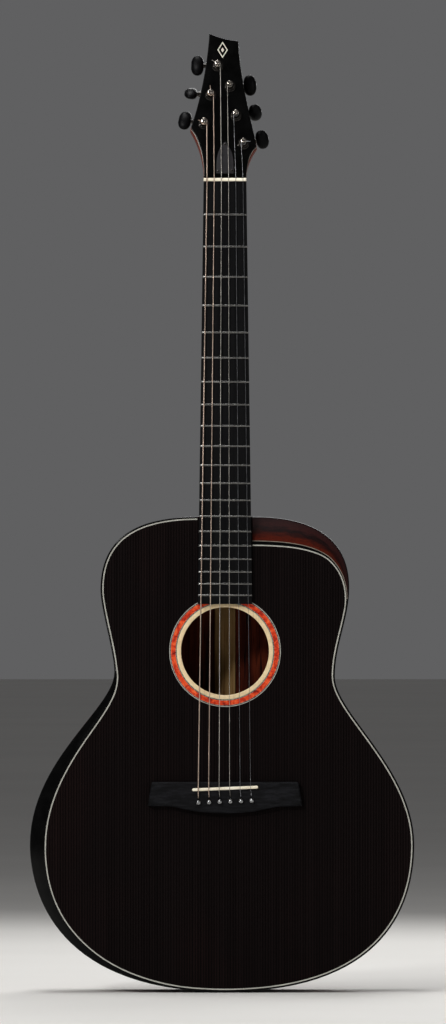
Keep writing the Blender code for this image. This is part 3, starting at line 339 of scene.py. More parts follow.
def clouded(name, roughness, specular, noise, stops, polish, relief=None):
    """Colours and gloss that follow one soft noise."""
    s = Surface(name, roughness, specular=specular)
    clouds = s.noise(**noise)
    s.paint(s.ramp(clouds, stops))
    s.rough(clouds, *polish)
    if relief:
        s.bump(clouds, *relief)
    return s.material


def at(grain, detail=3.0, **more):
    """The settings of one noise."""
    return {"grain": grain, "detail": detail, **more}


def lacquer_black(name, roughness, colour, specular):
    """Black lacquer or plastic with faint polishing haze."""
    s = Surface(name, roughness, specular=specular)
    haze = s.noise((90, 90, 90), detail=4.0)
    scratches = s.noise((1500, 900, 120), detail=2.0, turn=(0, 0, 0.4))
    lighter = tuple(value + 5 for value in colour)
    s.paint(s.ramp(haze, ((0.35, colour), (0.75, lighter))))
    s.rough(s.blend(0.5, haze, scratches), roughness * 0.8, roughness * 1.35)
    s.bump(scratches, 0.000006, 0.2)
    return s.material


def pin_black():
    """Hard polished black pin heads, which mirror the lights brightly."""
    s = Surface("pin_black", 0.2, specular=1.0, coat=1.0, coat_roughness=0.16)
    s.shader.inputs["IOR"].default_value = 2.0
    haze = s.noise((700, 700, 700), detail=2.0)
    s.paint(s.ramp(haze, ((0.3, (2, 2, 3)), (0.7, (5, 5, 6)))))
    s.rough(haze, 0.17, 0.25)
    return s.material


def pale_line(name, bright, dull):
    """Thin inlaid line of off-white plastic, a little uneven in tone."""
    return clouded(name, 0.35, 0.4, at((120, 120, 120)), ((0.3, dull), (0.7, bright)), (0.28, 0.42),
                   (0.00001, 0.2))


def metal(name, colour, roughness, grain=(400, 400, 400)):
    """Plated or drawn metal with fine brushing and a little tarnish."""
    s = Surface(name, roughness, metallic=1.0)
    brushed = s.noise(grain)
    tarnish = s.noise((160, 160, 160))
    darker = tuple(int(value * 0.8) for value in colour)
    s.paint(s.ramp(tarnish, ((0.3, darker), (0.62, colour))))
    s.rough(brushed, roughness * 0.75, roughness * 1.4)
    s.bump(brushed, 0.000008, 0.3)
    return s.material


def wound(name, colour, pitch):
    """Round winding: one ridge for each turn of the wrap wire along the string, with painted shade in the
    grooves between the turns.
    """
    s = Surface(name, 0.3, metallic=1.0)
    turns = s.waves(s.coords(uv=True), pitch)
    tarnish = s.noise((60, 60, 14))
    darker = tuple(int(value * 0.78) for value in colour)
    base = s.ramp(tarnish, ((0.3, darker), (0.65, colour)))
    # Painted shade: the colour falls to 0.4 of itself in the grooves between the turns.
    s.paint(s.blend(s.mask(turns, 0.3, 0.0), base, tuple(int(value * 0.4) for value in colour)))
    s.rough(tarnish, 0.24, 0.4)
    s.bump(turns, 0.00006, 0.4)
    return s.material


LOOKS = {
    "soundboard": soundboard_wood(),
    "rosewood": rosewood("back_rosewood"),
    "raw": rosewood("raw_rosewood", gloss=0.4, specular=0.03, coat=0.0),
    "rib": rosewood("rib_rosewood", uv=True),
    "bevel": bevel_rosewood(),
    # Red-brown hardwood with long fine pores, under satin lacquer
    "neck": figured(
        "neck_wood", 0.38, 0.2, at((45, 45, 4), 2.0, distortion=0.6),
        ((0.3, (78, 28, 15)), (0.5, (106, 40, 21)), (0.72, (88, 32, 17))),
        at((1100, 1100, 26), 2.0), (0.58, 0.7), (48, 19, 12), (0.28, 0.46), (0.00003, 0.4)),
    # Close-grained black wood with slightly lighter streaks and short pores
    "ebony": figured(
        "board_ebony", 0.42, 0.06, at((260, 260, 6)), ((0.3, (5, 5, 6)), (0.62, (13, 13, 14))),
        at((2200, 2200, 90), 2.0), (0.62, 0.74), (4, 4, 4), (0.36, 0.54), (0.00003, 0.4)),
    # Charcoal ebony whose grain runs across the guitar
    "bridge": figured(
        "bridge_ebony", 0.4, 0.08, at((60, 260, 420), 4.0, roughness=0.6),
        ((0.34, (4, 4, 5)), (0.5, (11, 11, 13)), (0.66, (23, 23, 26))),
        at((240, 1800, 1400), 2.0), (0.56, 0.7), (4, 4, 5), (0.38, 0.6), (0.00004, 0.5)),
    "binding": lacquer_black("binding_black", 0.14, (3, 3, 3), 0.09),
    "line": pale_line("inlaid_line", (178, 176, 167), (152, 151, 142)),
    "fine_line": pale_line("fine_line", (128, 118, 104), (104, 96, 86)),
    # Cream maple with faint upright fibres
    "maple": figured(
        "ring_maple", 0.35, 0.35, at((30, 30, 160), 2.0), ((0.3, (216, 190, 148)), (0.7, (232, 209, 168))),
        at((700, 300, 40)), (0.52, 0.8), (196, 166, 120), (0.28, 0.42), (0.00002, 0.3)),
    # Mottled orange-red and dark red figured ring
    "burl": figured(
        "rosette_burl", 0.28, 0.35, at((150, 150, 150), 4.0, roughness=0.62, distortion=0.8),
        ((0.32, (120, 18, 6)), (0.46, (186, 44, 14)), (0.56, (222, 74, 30)), (0.7, (236, 112, 60))),
        at((420, 420, 420), 2.0, distortion=0.5), (0.6, 0.75), (96, 14, 8), (0.2, 0.34), (0.00001, 0.2)),
    # Fine grey-green line broken by short dark dashes round the ring
    "dashes": clouded(
        "rosette_dashes", 0.35, 0.35, at((900, 1, 900), 1.0),
        ((0.42, (34, 42, 40)), (0.5, (136, 150, 138)), (0.7, (172, 182, 166))), (0.3, 0.4)),
    # Soft cream clouds and tiny pores
    "bone": figured(
        "polished_bone", 0.32, 0.45, at((70, 70, 160)), ((0.3, (222, 210, 184)), (0.7, (242, 234, 214))),
        at((1800, 900, 900), 2.0), (0.64, 0.76), (196, 180, 148), (0.26, 0.4), (0.00002, 0.25)),
    "head": lacquer_black("head_lacquer", 0.12, (3, 3, 3), 0.08),
    "cover": lacquer_black("cover_satin", 0.38, (38, 37, 39), 0.08),
    "pin": pin_black(),
    "button": lacquer_black("button_black", 0.34, (3, 3, 4), 0.05),
    "nickel": metal("nickel_plate", (188, 180, 172), 0.07),
    # Nickel with a dark base colour: a painted dark reflection of the studio, used on the cases, collars,
    # shafts, washers, bushings and cover screws.
    "nickel_painted_dark": metal("nickel_painted_dark_reflection", (72, 69, 66), 0.07),
    "steel": metal("plain_steel", (170, 170, 172), 0.3),
    "fret": metal("fret_nickel_silver", (124, 123, 120), 0.24, (900, 900, 60)),
    "bronze": wound("bronze_wrap", (226, 200, 182), 0.0004),
    "wrap_d": wound("bronze_wrap_fine", (204, 199, 190), 0.0003),
    "plain": metal("plain_wire", (140, 141, 144), 0.26, (2000, 2000, 60)),
    # Raw planed wood with straight amber growth lines
    "spruce": figured(
        "raw_spruce", 0.6, 0.05, at((420, 420, 5), 2.0),
        ((0.38, (156, 124, 80)), (0.55, (144, 112, 68)), (0.68, (114, 78, 42))),
        at((1500, 1500, 300), 2.0), (0.6, 0.8), (136, 104, 66), (0.5, 0.7), (0.00006, 0.4), carved=True),
    # Silvery shell with pale green and rose clouds
    "pearl": clouded(
        "shell_inlay", 0.22, 0.6, at((240, 240, 240), distortion=1.2),
        ((0.3, (168, 176, 160)), (0.48, (214, 212, 194)), (0.6, (206, 188, 178)), (0.74, (180, 192, 186))),
        (0.16, 0.3)),
    "floor": clouded(
        "pale_floor", 0.8, 0.2, at((1.5, 1.5, 1.5), 2.0), ((0.3, (214, 212, 208)), (0.7, (219, 217, 213))),
        (0.75, 0.85)),
}


# ---------------------------------------------------------------- mesh helpers

def mm(*rows):
    """Rows of millimetres, in metres."""
    return [tuple(value * MM for value in row) for row in rows]


def piece(name, mesh, look, body="root", replaces=(), place=None):
    """Link a mesh under its own name with a material, and let it ride on its body."""
    mesh.name = name
    mesh.set_sharp_from_angle(angle=SHARP_EDGE)
    made = bpy.data.objects.new(name, mesh)
    bpy.context.scene.collection.objects.link(made)
    if place is not None:
        mesh.transform(place)
    mesh.materials.clear()
    mesh.materials.append(LOOKS[look])
    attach(made, body)
    if replaces:
        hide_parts(*replaces)
    return made


def finished(shape, keep_flat=()):
    """A mesh from a bmesh, facing outwards and smooth except for its flat faces."""
    bmesh.ops.recalc_face_normals(shape, faces=shape.faces)
    for face in shape.faces:
        face.smooth = face not in keep_flat
    mesh = bpy.data.meshes.new("piece")
    shape.to_mesh(mesh)
    shape.free()
    return mesh


def loft(sections, ring=False, lengthwise=None, across=None):
    """A closed body through sections of equal corner count, with a UV map along and across in metres."""
    shape = bmesh.new()
    uv = shape.loops.layers.uv.new("along")
    sections = [[Vector(corner) for corner in section] for section in sections]
    rows = [[shape.verts.new(corner) for corner in section] for section in sections]
    count = len(rows[0])
    if lengthwise is None:
        lengthwise = [0.0]
        for before, after in zip(sections, sections[1:]):
            step = sum((b - a).length for a, b in zip(before, after)) / count
            lengthwise.append(lengthwise[-1] + step)
    if across is None:
        across = []
        for section in sections:
            row = [0.0]
            for k in range(count):
                row.append(row[-1] + (section[(k + 1) % count] - section[k]).length)
            across.append(row)
    turns = len(rows) if ring else len(rows) - 1
    for i in range(turns):
        j = (i + 1) % len(rows)
        far = lengthwise[i + 1] if i + 1 < len(rows) else 2 * lengthwise[i] - lengthwise[i - 1]
        for k in range(count):
            after = (k + 1) % count
            face = shape.faces.new((rows[i][k], rows[i][after], rows[j][after], rows[j][k]))
            values = ((lengthwise[i], across[i][k]), (lengthwise[i], across[i][k + 1]),
                      (far, across[j][k + 1]), (far, across[j][k]))
            for corner, value in zip(face.loops, values):
                corner[uv].uv = value
    ends = set()
    if not ring:
        ends = {shape.faces.new(rows[0]), shape.faces.new(rows[-1])}
    return finished(shape, ends)


def offset_loop(loop, inset):
    """A closed loop moved to its left by inset."""
    points = np.array(loop, float)
    ahead = np.roll(points, -1, axis=0) - points
    ahead /= np.linalg.norm(ahead, axis=1)[:, None]
    behind = np.roll(ahead, 1, axis=0)
    left = np.stack((-ahead[:, 1] - behind[:, 1], ahead[:, 0] + behind[:, 0]), axis=1)
    reach = np.maximum((left ** 2).sum(axis=1) / 2, 0.5)
    return points + left / reach[:, None] * inset


def signed_area(loop):
    points = np.array(loop, float)
    after = np.roll(points, -1, axis=0)
    return (points[:, 0] * after[:, 1] - points[:, 1] * after[:, 0]).sum() / 2


def slab(loops, profile):
    """A plate in its own XY plane: the first loop is its outline and the others are holes.

    The profile lists (inset, height) from the back edge to the front edge, which is at +Z.
    """
    shape = bmesh.new()
    backs, fronts = [], []
    for index, loop in enumerate(loops):
        if (signed_area(loop) > 0) != (index == 0):
            loop = loop[::-1]
        rows = []
        for inset, height in profile:
            rows.append([shape.verts.new((x, y, height)) for x, y in offset_loop(loop, inset)])
        count = len(loop)
        for low, high in zip(rows, rows[1:]):
            for k in range(count):
                after = (k + 1) % count
                shape.faces.new((low[k], low[after], high[after], high[k]))
        backs.append(rows[0])
        fronts.append(rows[-1])
    caps = set()
    for group in (backs, fronts):
        flat = [vert for row in group for vert in row]
        for triangle in tessellate_polygon([[vert.co for vert in row] for row in group]):
            corners = [flat[i] for i in triangle]
            if len(set(corners)) == 3:
                caps.add(shape.faces.new(corners))
    return finished(shape, caps)


def soft_profile(thickness, front, back=0.0, steps=4):
    """Profile of a plate with rounded front and back edges."""
    def arc(radius, height, sign):
        if not radius:
            return [(0.0, height)]
        turns = np.linspace(0, math.pi / 2, steps + 1)
        return [(radius * (1 - math.cos(t)), height + sign * radius * (math.sin(t) - 1)) for t in turns]

    return arc(back, 0.0, -1)[::-1] + arc(front, thickness, 1)


def revolve(profile, segments=40):
    """A solid turned about Z from (radius, height) points that start and end on the axis."""
    shape = bmesh.new()
    rows = []
    for radius, height in profile:
        if radius < 1e-7:
            rows.append([shape.verts.new((0, 0, height))])
            continue
        turns = np.linspace(0, 2 * math.pi, segments, endpoint=False)
        rows.append([shape.verts.new((radius * math.cos(t), radius * math.sin(t), height)) for t in turns])
    for low, high in zip(rows, rows[1:]):
        for k in range(segments):
            after = (k + 1) % segments
            corners = [low[k % len(low)], low[after % len(low)], high[after % len(high)], high[k % len(high)]]
            unique = list(dict.fromkeys(corners))
            if len(unique) > 2:
                shape.faces.new(unique)
    return finished(shape)


def sweep_rows(path, radii, sides):
    """Rings of points round a path, with no twist between them."""
    path = [Vector(point) for point in path]
    heading = (path[1] - path[0]).normalized()
    side = heading.orthogonal().normalized()
    rows = []
    for i, point in enumerate(path):
        before = path[max(i - 1, 0)]
        after = path[min(i + 1, len(path) - 1)]
        ahead = (after - before).normalized()
        side = (side - ahead * side.dot(ahead)).normalized()
        other = ahead.cross(side)
        radius = radii[i] if hasattr(radii, "__len__") else radii
        turns = np.linspace(0, 2 * math.pi, sides, endpoint=False)
        rows.append([point + radius * (math.cos(t) * side + math.sin(t) * other) for t in turns])
    return rows


def rounded_path(corners, trim, steps=5):
    """The corners joined by straight runs with a small bend at each."""
    corners = [Vector(corner) for corner in corners]
    path = [corners[0]]
    for before, corner, after in zip(corners, corners[1:], corners[2:]):
        reach = min(trim, (corner - before).length * 0.45, (after - corner).length * 0.45)
        start = corner + (before - corner).normalized() * reach
        end = corner + (after - corner).normalized() * reach
        for t in np.linspace(0, 1, steps + 1):
            path.append((1 - t) ** 2 * start + 2 * t * (1 - t) * corner + t * t * end)
    return path + [corners[-1]]


def raised(height):
    """Moves a flat mesh along its own normal."""
    return Matrix.Translation((0, 0, height))


def upright(y):
    """Places a flat mesh in a plane parallel to the soundboard, with its +Z towards the front."""
    return Matrix.Translation((0, y, 0)) @ Matrix.Rotation(math.radians(90), 4, "X")


def bezier(start, handle_a, handle_b, end, steps):
    t = np.linspace(0, 1, steps + 1)[:, None]
    corners = [np.array(p, float) for p in (start, handle_a, handle_b, end)]
    return ((1 - t) ** 3 * corners[0] + 3 * t * (1 - t) ** 2 * corners[1]
            + 3 * t ** 2 * (1 - t) * corners[2] + t ** 3 * corners[3])


def eased(fractions, knots):
    """A smooth curve through (fraction, value) knots, level beyond both ends."""
    at = np.array([knot[0] for knot in knots])
    value = np.array([knot[1] for knot in knots])
    slope = np.gradient(value, at)
    slope[0] = slope[-1] = 0
    where = np.clip(fractions, at[0], at[-1])
    i = np.clip(np.searchsorted(at, where, side="right") - 1, 0, len(at) - 2)
    width = at[i + 1] - at[i]
    t = (where - at[i]) / width
    return ((1 + 2 * t) * (1 - t) ** 2 * value[i] + t * (1 - t) ** 2 * width * slope[i]
            + t * t * (3 - 2 * t) * value[i + 1] + t * t * (t - 1) * width * slope[i + 1])


def circle(radius, count=128, centre=(0.0, SOUNDHOLE_Z)):
    turns = np.linspace(0, 2 * math.pi, count, endpoint=False)
    return [(centre[0] + radius * math.sin(t), centre[1] + radius * math.cos(t)) for t in turns]


# ---------------------------------------------------------------- outline of the body

class Rim:
    """Stations along one side of the body, from the neck pocket to the tail."""

    def __init__(self, hand, shape, knots, drop):
        a, b, c, d, e, f, g, h = (handle * MM for handle in shape["handles"])
        upper, waist, lower = (np.array(shape[key]) * MM for key in ("upper", "waist", "lower"))
        shoulder = np.array((NECK_SHOULDER_HALF, BODY_TOP_Z))
        tail = np.array((0, BODY_TAIL_Z))
        stretches = (
            (shoulder, shoulder + (a, 0), upper + (0, b), upper),
            (upper, upper - (0, c), waist + (0, d), waist),
            (waist, waist - (0, e), lower + (0, f), lower),
            (lower, lower - (0, g), tail + (h, 0), tail),
        )
        points = [shoulder]
        for stretch, steps in zip(stretches, STRETCH_STEPS):
            points.extend(bezier(*stretch, steps)[1:])
        points = [point for point in points[:-1]
                  if point[1] > BODY_TAIL_Z + 1e-6 and point[0] > TAIL_GRAFT_HALF + MM]
        points += [np.array((TAIL_GRAFT_HALF, BODY_TAIL_Z)), tail]
        points.insert(0, np.array((NECK_POCKET_HALF, BODY_TOP_Z)))
        points = np.array(points)
        heading = np.gradient(points, axis=0)
        heading[:2] = (1, 0)
        heading[-2:] = (-1, 0)
        heading /= np.linalg.norm(heading, axis=1)[:, None]
        self.inward = np.stack((heading[:, 1], -heading[:, 0]), axis=1)
        self.points = points
        self.run = np.concatenate(([0], np.cumsum(np.linalg.norm(np.diff(points, axis=0), axis=1))))
        fractions = (self.run - self.run[1]) / (self.run[-1] - self.run[1])
        self.bevel = np.maximum(eased(fractions, knots), 0) * MM
        self.drop = self.bevel * drop
        self.bevelled = [i for i in range(1, len(points)) if self.bevel[i] >= 0.4 * MM]
        self.hand = hand
        self.last = len(points) - 1

    def place(self, i, inset, y):
        x, z = self.points[i] + self.inward[i] * inset
        return (self.hand * x, y, z)

    def section(self, i, corners):
        return [self.place(i, inset, y) for inset, y in corners]

    def face_y(self, i, inset):
        """Depth of the bevel's slightly crowned face, or 0 beyond it."""
        reach = self.bevel[i] + BINDING_WIDTH
        t = min(inset / reach, 1.0)
        return self.drop[i] * (1 - t) - 0.16 * self.drop[i] * math.sin(math.pi * t) * math.sqrt(t)


def back_y(z):
    along = (BODY_TOP_Z - z) / (BODY_TOP_Z - BODY_TAIL_Z)
    return DEPTH_AT_NECK + (DEPTH_AT_TAIL - DEPTH_AT_NECK) * along


def around(bass, treble, corners_at):
    """Sections from the bass shoulder round the tail to the treble shoulder."""
    sections = [bass.section(i, corners_at(bass, i)) for i in range(1, bass.last + 1)]
    return sections + [treble.section(i, corners_at(treble, i)) for i in range(treble.last - 1, 0, -1)]


def outline(bass, treble, inset_at):
    loop = [bass.place(i, inset_at(bass, i), 0) for i in range(1, bass.last)]
    loop += [treble.place(i, inset_at(treble, i), 0) for i in range(treble.last - 1, 0, -1)]
    return [(x, z) for x, _, z in loop]


def eased_corner(start, corner, end, steps=4):
    """Points of a small round between two edges of a section."""
    start, corner, end = (np.array(p) for p in (start, corner, end))
    turns = np.linspace(0, 1, steps + 1)
    return [tuple((1 - t) ** 2 * start + 2 * t * (1 - t) * corner + t * t * end) for t in turns]


# ---------------------------------------------------------------- body pieces

def build_top_trim(bass, treble):
    def binding(rim, i):
        drop, low = rim.drop[i], rim.drop[i] + BINDING_HEIGHT
        inner = (BINDING_WIDTH, rim.face_y(i, BINDING_WIDTH))
        slope = np.array(inner) - (0, drop)
        slope /= np.linalg.norm(slope)
        ease = 1.1 * MM
        corner = eased_corner((0, drop + ease), (0, drop), tuple(np.array((0, drop)) + slope * ease))
        return corner + [inner, (BINDING_WIDTH, low), (0, low)]

    def purfling(rim, i):
        outer = rim.bevel[i] + BINDING_WIDTH
        inner = outer + PURFLING_WIDTH
        proud = -0.03 * MM
        return ((outer, proud), (inner, proud), (inner, TOP_THICKNESS), (outer, TOP_THICKNESS))

    piece("binding_top", loft(around(bass, treble, binding)), "binding",
          replaces=("top_binding",))
    piece("purfling_line", loft(around(bass, treble, purfling)), "line",
          replaces=("top_purfling",))


def build_soundboard(bass, treble):
    loop = outline(bass, treble, lambda rim, i: rim.bevel[i] + BINDING_WIDTH + PURFLING_WIDTH)
    tongue = NECK_SHOULDER_HALF
    loop[0] = (-tongue, loop[0][1])
    loop[-1] = (tongue, loop[-1][1])
    loop += [(tongue, BODY_TOP_Z - 0.3 * MM), (-tongue, BODY_TOP_Z - 0.3 * MM)]
    mesh = slab((loop, circle(ROSETTE_RADIUS)), ((0, 0), (0, TOP_THICKNESS)))
    piece("soundboard_plate", mesh, "soundboard", replaces=("soundboard",),
          place=upright(TOP_THICKNESS))


def ring_piece(name, outer, inner, look, proud=0.0, ease=0.0, replaces=()):
    profile = soft_profile(TOP_THICKNESS + proud, ease) if ease else ((0, 0), (0, TOP_THICKNESS + proud))
    mesh = slab((circle(outer), circle(inner)), profile)
    piece(name, mesh, look, replaces=replaces, place=upright(TOP_THICKNESS))


def build_rings():
    bounds = ROSETTE_RINGS
    ring_piece("rosette_outer_line", bounds[0], bounds[1], "line", 0.03 * MM)
    ring_piece("rosette_outer_dark", bounds[1], bounds[2], "binding")
    ring_piece("rosette_outer_dashes", bounds[2], bounds[3], "dashes")
    ring_piece("rosette_burl_ring", bounds[3], bounds[4], "burl", replaces=("rosette",))
    ring_piece("rosette_inner_dashes", bounds[4], bounds[5], "dashes")
    ring_piece("rosette_inner_dark", bounds[5], bounds[6], "binding")
    ring_piece("rosette_inner_line", bounds[6], bounds[7], "dashes")
    ring_piece("soundhole_ring", HOLE_BINDING_RADIUS, SOUNDHOLE_RADIUS, "maple", 0.02 * MM,
               0.7 * MM,
               replaces=("soundhole_binding",))


def strip_on_bevel(rim, name, start_at, end_at, look, lift=0.0, replaces=(), steps=6, deep=False):
    """A layer of the bevel between two insets, given as functions of the station."""
    sections, across, lengthwise = [], [], []
    for i in rim.bevelled:
        low, high = start_at(i), end_at(i)
        insets = np.linspace(low, high, steps + 1)
        top = [(inset, rim.face_y(i, inset) - lift) for inset in insets]
        foot = rim.drop[i] + BINDING_HEIGHT if deep else rim.face_y(i, low) + 2.4 * MM
        bottom = [(high, max(rim.face_y(i, high) + 2.4 * MM, TOP_THICKNESS)), (low, foot)]
        sections.append(rim.section(i, top + bottom))
        span = max(rim.bevel[i], 1e-6)
        row = [(inset - BINDING_WIDTH) / span for inset in insets]
        across.append(row + [row[-1] + 0.1, row[0] - 0.1, row[0]])
        lengthwise.append(rim.run[i] * 10)
    mesh = loft(sections, lengthwise=lengthwise, across=across)
    piece(name, mesh, look, replaces=replaces)


def build_bevels(bass, treble):
    strip_on_bevel(bass, "arm_bevel_face", lambda i: BINDING_WIDTH, lambda i: bass.bevel[i] + BINDING_WIDTH,
                   "binding", replaces=("arm_bevel",), deep=True)

    def band(i):
        """Inset where the black band beside the white line begins."""
        return treble.bevel[i] + BINDING_WIDTH - 0.5 * MM - 0.115 * treble.bevel[i]

    fine = 0.75 * MM
    strip_on_bevel(treble, "cutaway_veneer", lambda i: min(BINDING_WIDTH * 0.5, band(i) - 2 * fine),
                   lambda i: band(i) - fine, "bevel", lift=0.04 * MM, replaces=("cutaway_bevel",),
                   steps=10, deep=True)
    strip_on_bevel(treble, "cutaway_fine_line", lambda i: band(i) - fine, band, "fine_line",
                   lift=0.05 * MM, steps=1)
    strip_on_bevel(treble, "cutaway_black_band", band, lambda i: treble.bevel[i] + BINDING_WIDTH, "binding",
                   lift=0.02 * MM, steps=3)


def build_side(rim, name, node):
    def corners(i):
        high = rim.drop[i] + BINDING_HEIGHT
        low = back_y(rim.points[i][1]) - BINDING_HEIGHT
        return ((0, high), (SIDE_THICKNESS, high), (SIDE_THICKNESS, low), (0, low))

    sections = [rim.section(i, corners(i)) for i in range(rim.last)]
    piece(name, loft(sections), "rib", replaces=(node,))


def build_back(bass, treble):
    def binding(rim, i):
        low = back_y(rim.points[i][1])
        ease = 1.4 * MM
        round_over = eased_corner((ease, low), (0, low), (0, low - ease))
        high = low - BINDING_HEIGHT
        return [(BINDING_WIDTH, high), (BINDING_WIDTH, low)] + round_over + [(0, high)]

    ring = around(bass, treble, binding)
    piece("binding_back", loft(ring, ring=True), "binding",
          replaces=("back_binding",))
    for hand, rim, name in ((-1, bass, "back_half_bass"), (1, treble, "back_half_treble")):
        side = [rim.place(i, BINDING_WIDTH, 0) for i in range(1, rim.last)]
        loop = [(x, z) for x, _, z in side]
        loop = [(hand * SEAM_HALF, loop[0][1])] + loop + [(hand * SEAM_HALF, BODY_TAIL_Z + BINDING_WIDTH)]
        mesh = slab((loop,), ((0, 0), (0, BACK_THICKNESS)))
        seat_back(mesh)
        half = piece(name, mesh, "rosewood", replaces=("back",) if hand < 0 else ())
        leave_inside_raw(half)
    top_z = BODY_TOP_Z - BINDING_WIDTH
    tail_z = BODY_TAIL_Z + BINDING_WIDTH
    dark = SEAM_HALF / 2
    for name, low, high, look, slot in (("back_seam_line_bass", -SEAM_HALF, -dark, "line", "white_purfling"),
                                        ("back_seam_dark", -dark, dark, "binding", "black_binding"),
                                        ("back_seam_line_treble", dark, SEAM_HALF, "line", "white_purfling")):
        loop = [(low, tail_z), (high, tail_z), (high, top_z), (low, top_z)]
        mesh = slab((loop,), ((0, 0), (0, BACK_THICKNESS)))
        seat_back(mesh)
        piece(name, mesh, look)


def leave_inside_raw(plate):
    """Give the faces of a back plate that look into the body raw wood instead of lacquer."""
    plate.data.materials.append(LOOKS["raw"])
    for face in plate.data.polygons:
        if face.normal.y < -0.5:
            face.material_index = 1


def seat_back(mesh):
    """Turn a flat plate in XY into the back's sloping plane."""
    for vert in mesh.vertices:
        x, z, height = vert.co
        vert.co = (x, back_y(z) - height, z)


def build_neck_block():
    """Block of the neck's wood under its shoulder, with eased lower corners."""
    half = NECK_SHOULDER_HALF - 0.6 * MM
    low = back_y(BODY_TOP_Z) - BACK_THICKNESS - 0.4 * MM
    top, foot, ease = BODY_TOP_Z - 2.6 * MM, NECK_BLOCK_END_Z, 4 * MM
    loop = [(half, top), (half, foot + ease), (half - ease, foot), (-half + ease, foot), (-half, foot + ease),
            (-half, top)]
    depth = low - TOP_THICKNESS - 0.1 * MM
    mesh = slab((loop,), soft_profile(depth, 0.8 * MM, 0.8 * MM, 2))
    piece("neck_block_carved", mesh, "neck", replaces=("neck_block",), place=upright(low))


# ---------------------------------------------------------------- bridge

def spread(width, k):
    return width * (k / 5 - 0.5)


def pin_place(k):
    return (spread(PIN_SPREAD, k), PIN_Z_BASS + (PIN_Z_TREBLE - PIN_Z_BASS) * k / 5)


def saddle_z(x):
    along = (x - SADDLE_BASS[0]) / (SADDLE_TREBLE[0] - SADDLE_BASS[0])
    return SADDLE_BASS[1] + (SADDLE_TREBLE[1] - SADDLE_BASS[1]) * along


def saddle_loop(margin):
    """A bar with round ends along the saddle."""
    start, end = np.array(SADDLE_BASS), np.array(SADDLE_TREBLE)
    ahead = (end - start) / np.linalg.norm(end - start)
    side = np.array((-ahead[1], ahead[0]))
    half = SADDLE_THICKNESS / 2 + margin
    loop = []
    for centre, sign in ((end - ahead * SADDLE_THICKNESS / 2, 1), (start + ahead * SADDLE_THICKNESS / 2, -1)):
        for t in np.linspace(-math.pi / 2, math.pi / 2, 9):
            loop.append(tuple(centre + sign * half * (math.cos(t) * ahead + math.sin(t) * side)))
    return loop


def pin_hole_loop(k):
    """A round hole with the string's slot running towards the saddle."""
    x, z = pin_place(k)
    radius = 2.7 * MM
    slot = STRING_DIAMETERS[k] / 2 + 0.35 * MM
    opening = math.asin(slot / radius)
    loop = []
    for t in np.linspace(opening, 2 * math.pi - opening, 22):
        loop.append((x + radius * math.sin(t), z + radius * math.cos(t)))
    tip = z + 5.6 * MM
    for t in np.linspace(-math.pi / 2, math.pi / 2, 6):
        loop.append((x + slot * math.sin(t), tip + slot * math.cos(t)))
    return loop


def build_bridge():
    foot = (60 * MM, BRIDGE_SHOULDER_Z - 0.5 * MM)
    curve = bezier(foot, (45 * MM, BRIDGE_SHOULDER_Z - 2 * MM), (35 * MM, BRIDGE_BELLY_Z),
                   (0, BRIDGE_BELLY_Z), 22)
    end = [(BRIDGE_HALF_TOP - 1 * MM, BRIDGE_TOP_Z), (BRIDGE_HALF_TOP + 0.1 * MM, BRIDGE_TOP_Z - 1 * MM),
           (BRIDGE_HALF_BOTTOM, BRIDGE_SHOULDER_Z + 0.8 * MM),
           (BRIDGE_HALF_BOTTOM - 0.7 * MM, BRIDGE_SHOULDER_Z)]
    half = end + [foot] + [tuple(point) for point in curve[1:]]
    loop = half + [(-x, z) for x, z in half[-2::-1]]
    holes = [pin_hole_loop(k) for k in range(6)] + [saddle_loop(0.12 * MM)]
    outer = slab((loop,), ((0, 0), (0, BRIDGE_HEIGHT - 1.5 * MM), (0.5 * MM, BRIDGE_HEIGHT - 0.7 * MM),
                                           (1.5 * MM, BRIDGE_HEIGHT)))
    body = piece("bridge_carved", outer, "bridge", replaces=("bridge",), place=upright(0))
    through = mm((0, 2), (0, 20))
    cutter = slab((holes[0],), through)
    for hole in holes[1:]:
        add_mesh(cutter, slab((hole,), through))
    cutter.transform(upright(0))
    cut(body, cutter)
    top = SADDLE_TOP - 4 * MM
    mesh = slab((saddle_loop(0),), soft_profile(top, 1.2 * MM, 0.2 * MM))
    piece("saddle_bone", mesh, "bone", replaces=("saddle",), place=upright(-4 * MM))


def add_mesh(target, extra):
    shape = bmesh.new()
    shape.from_mesh(target)
    shape.from_mesh(extra)
    shape.to_mesh(target)
    shape.free()


def cut(body, cutter_mesh):
    """Subtract closed shapes from a piece for good."""
    cutter = bpy.data.objects.new("cutter", cutter_mesh)
    bpy.context.scene.collection.objects.link(cutter)
    step = body.modifiers.new("cut", "BOOLEAN")
    step.operation = "DIFFERENCE"
    step.solver = "EXACT"
    step.object = cutter
    bpy.context.view_layer.update()
    graph = bpy.context.evaluated_depsgraph_get()
    mesh = bpy.data.meshes.new_from_object(body.evaluated_get(graph))
    mesh.shade_flat()
    body.modifiers.clear()
    body.data = mesh
    bpy.data.objects.remove(cutter, do_unlink=True)


def build_pins():
    head = PIN_HEAD_RADIUS
    turns = np.linspace(0, math.radians(118), 12)
    profile = [(head * math.sin(t), 1.55 * MM + head * math.cos(t)) for t in turns]
    profile += mm((2.45, 0.1), (2.35, -0.3), (2.0, -19.5), (1.4, -20.5), (0, -20.7))
    profile[0] = (0, profile[0][1])
    for k in range(6):
        x, z = pin_place(k)
        mesh = revolve(profile, 36)
        piece(f"pin_{k + 1}", mesh, "pin", replaces=(f"bridge_pin_{k + 1}",),
              place=Matrix.Translation((x, 0, z)) @ upright(-BRIDGE_HEIGHT))


# ---------------------------------------------------------------- neck and headstock

def half_width(z):
    return (NUT_WIDTH + (FRETBOARD_END_WIDTH - NUT_WIDTH) * -z / FRETBOARD_LENGTH) / 2


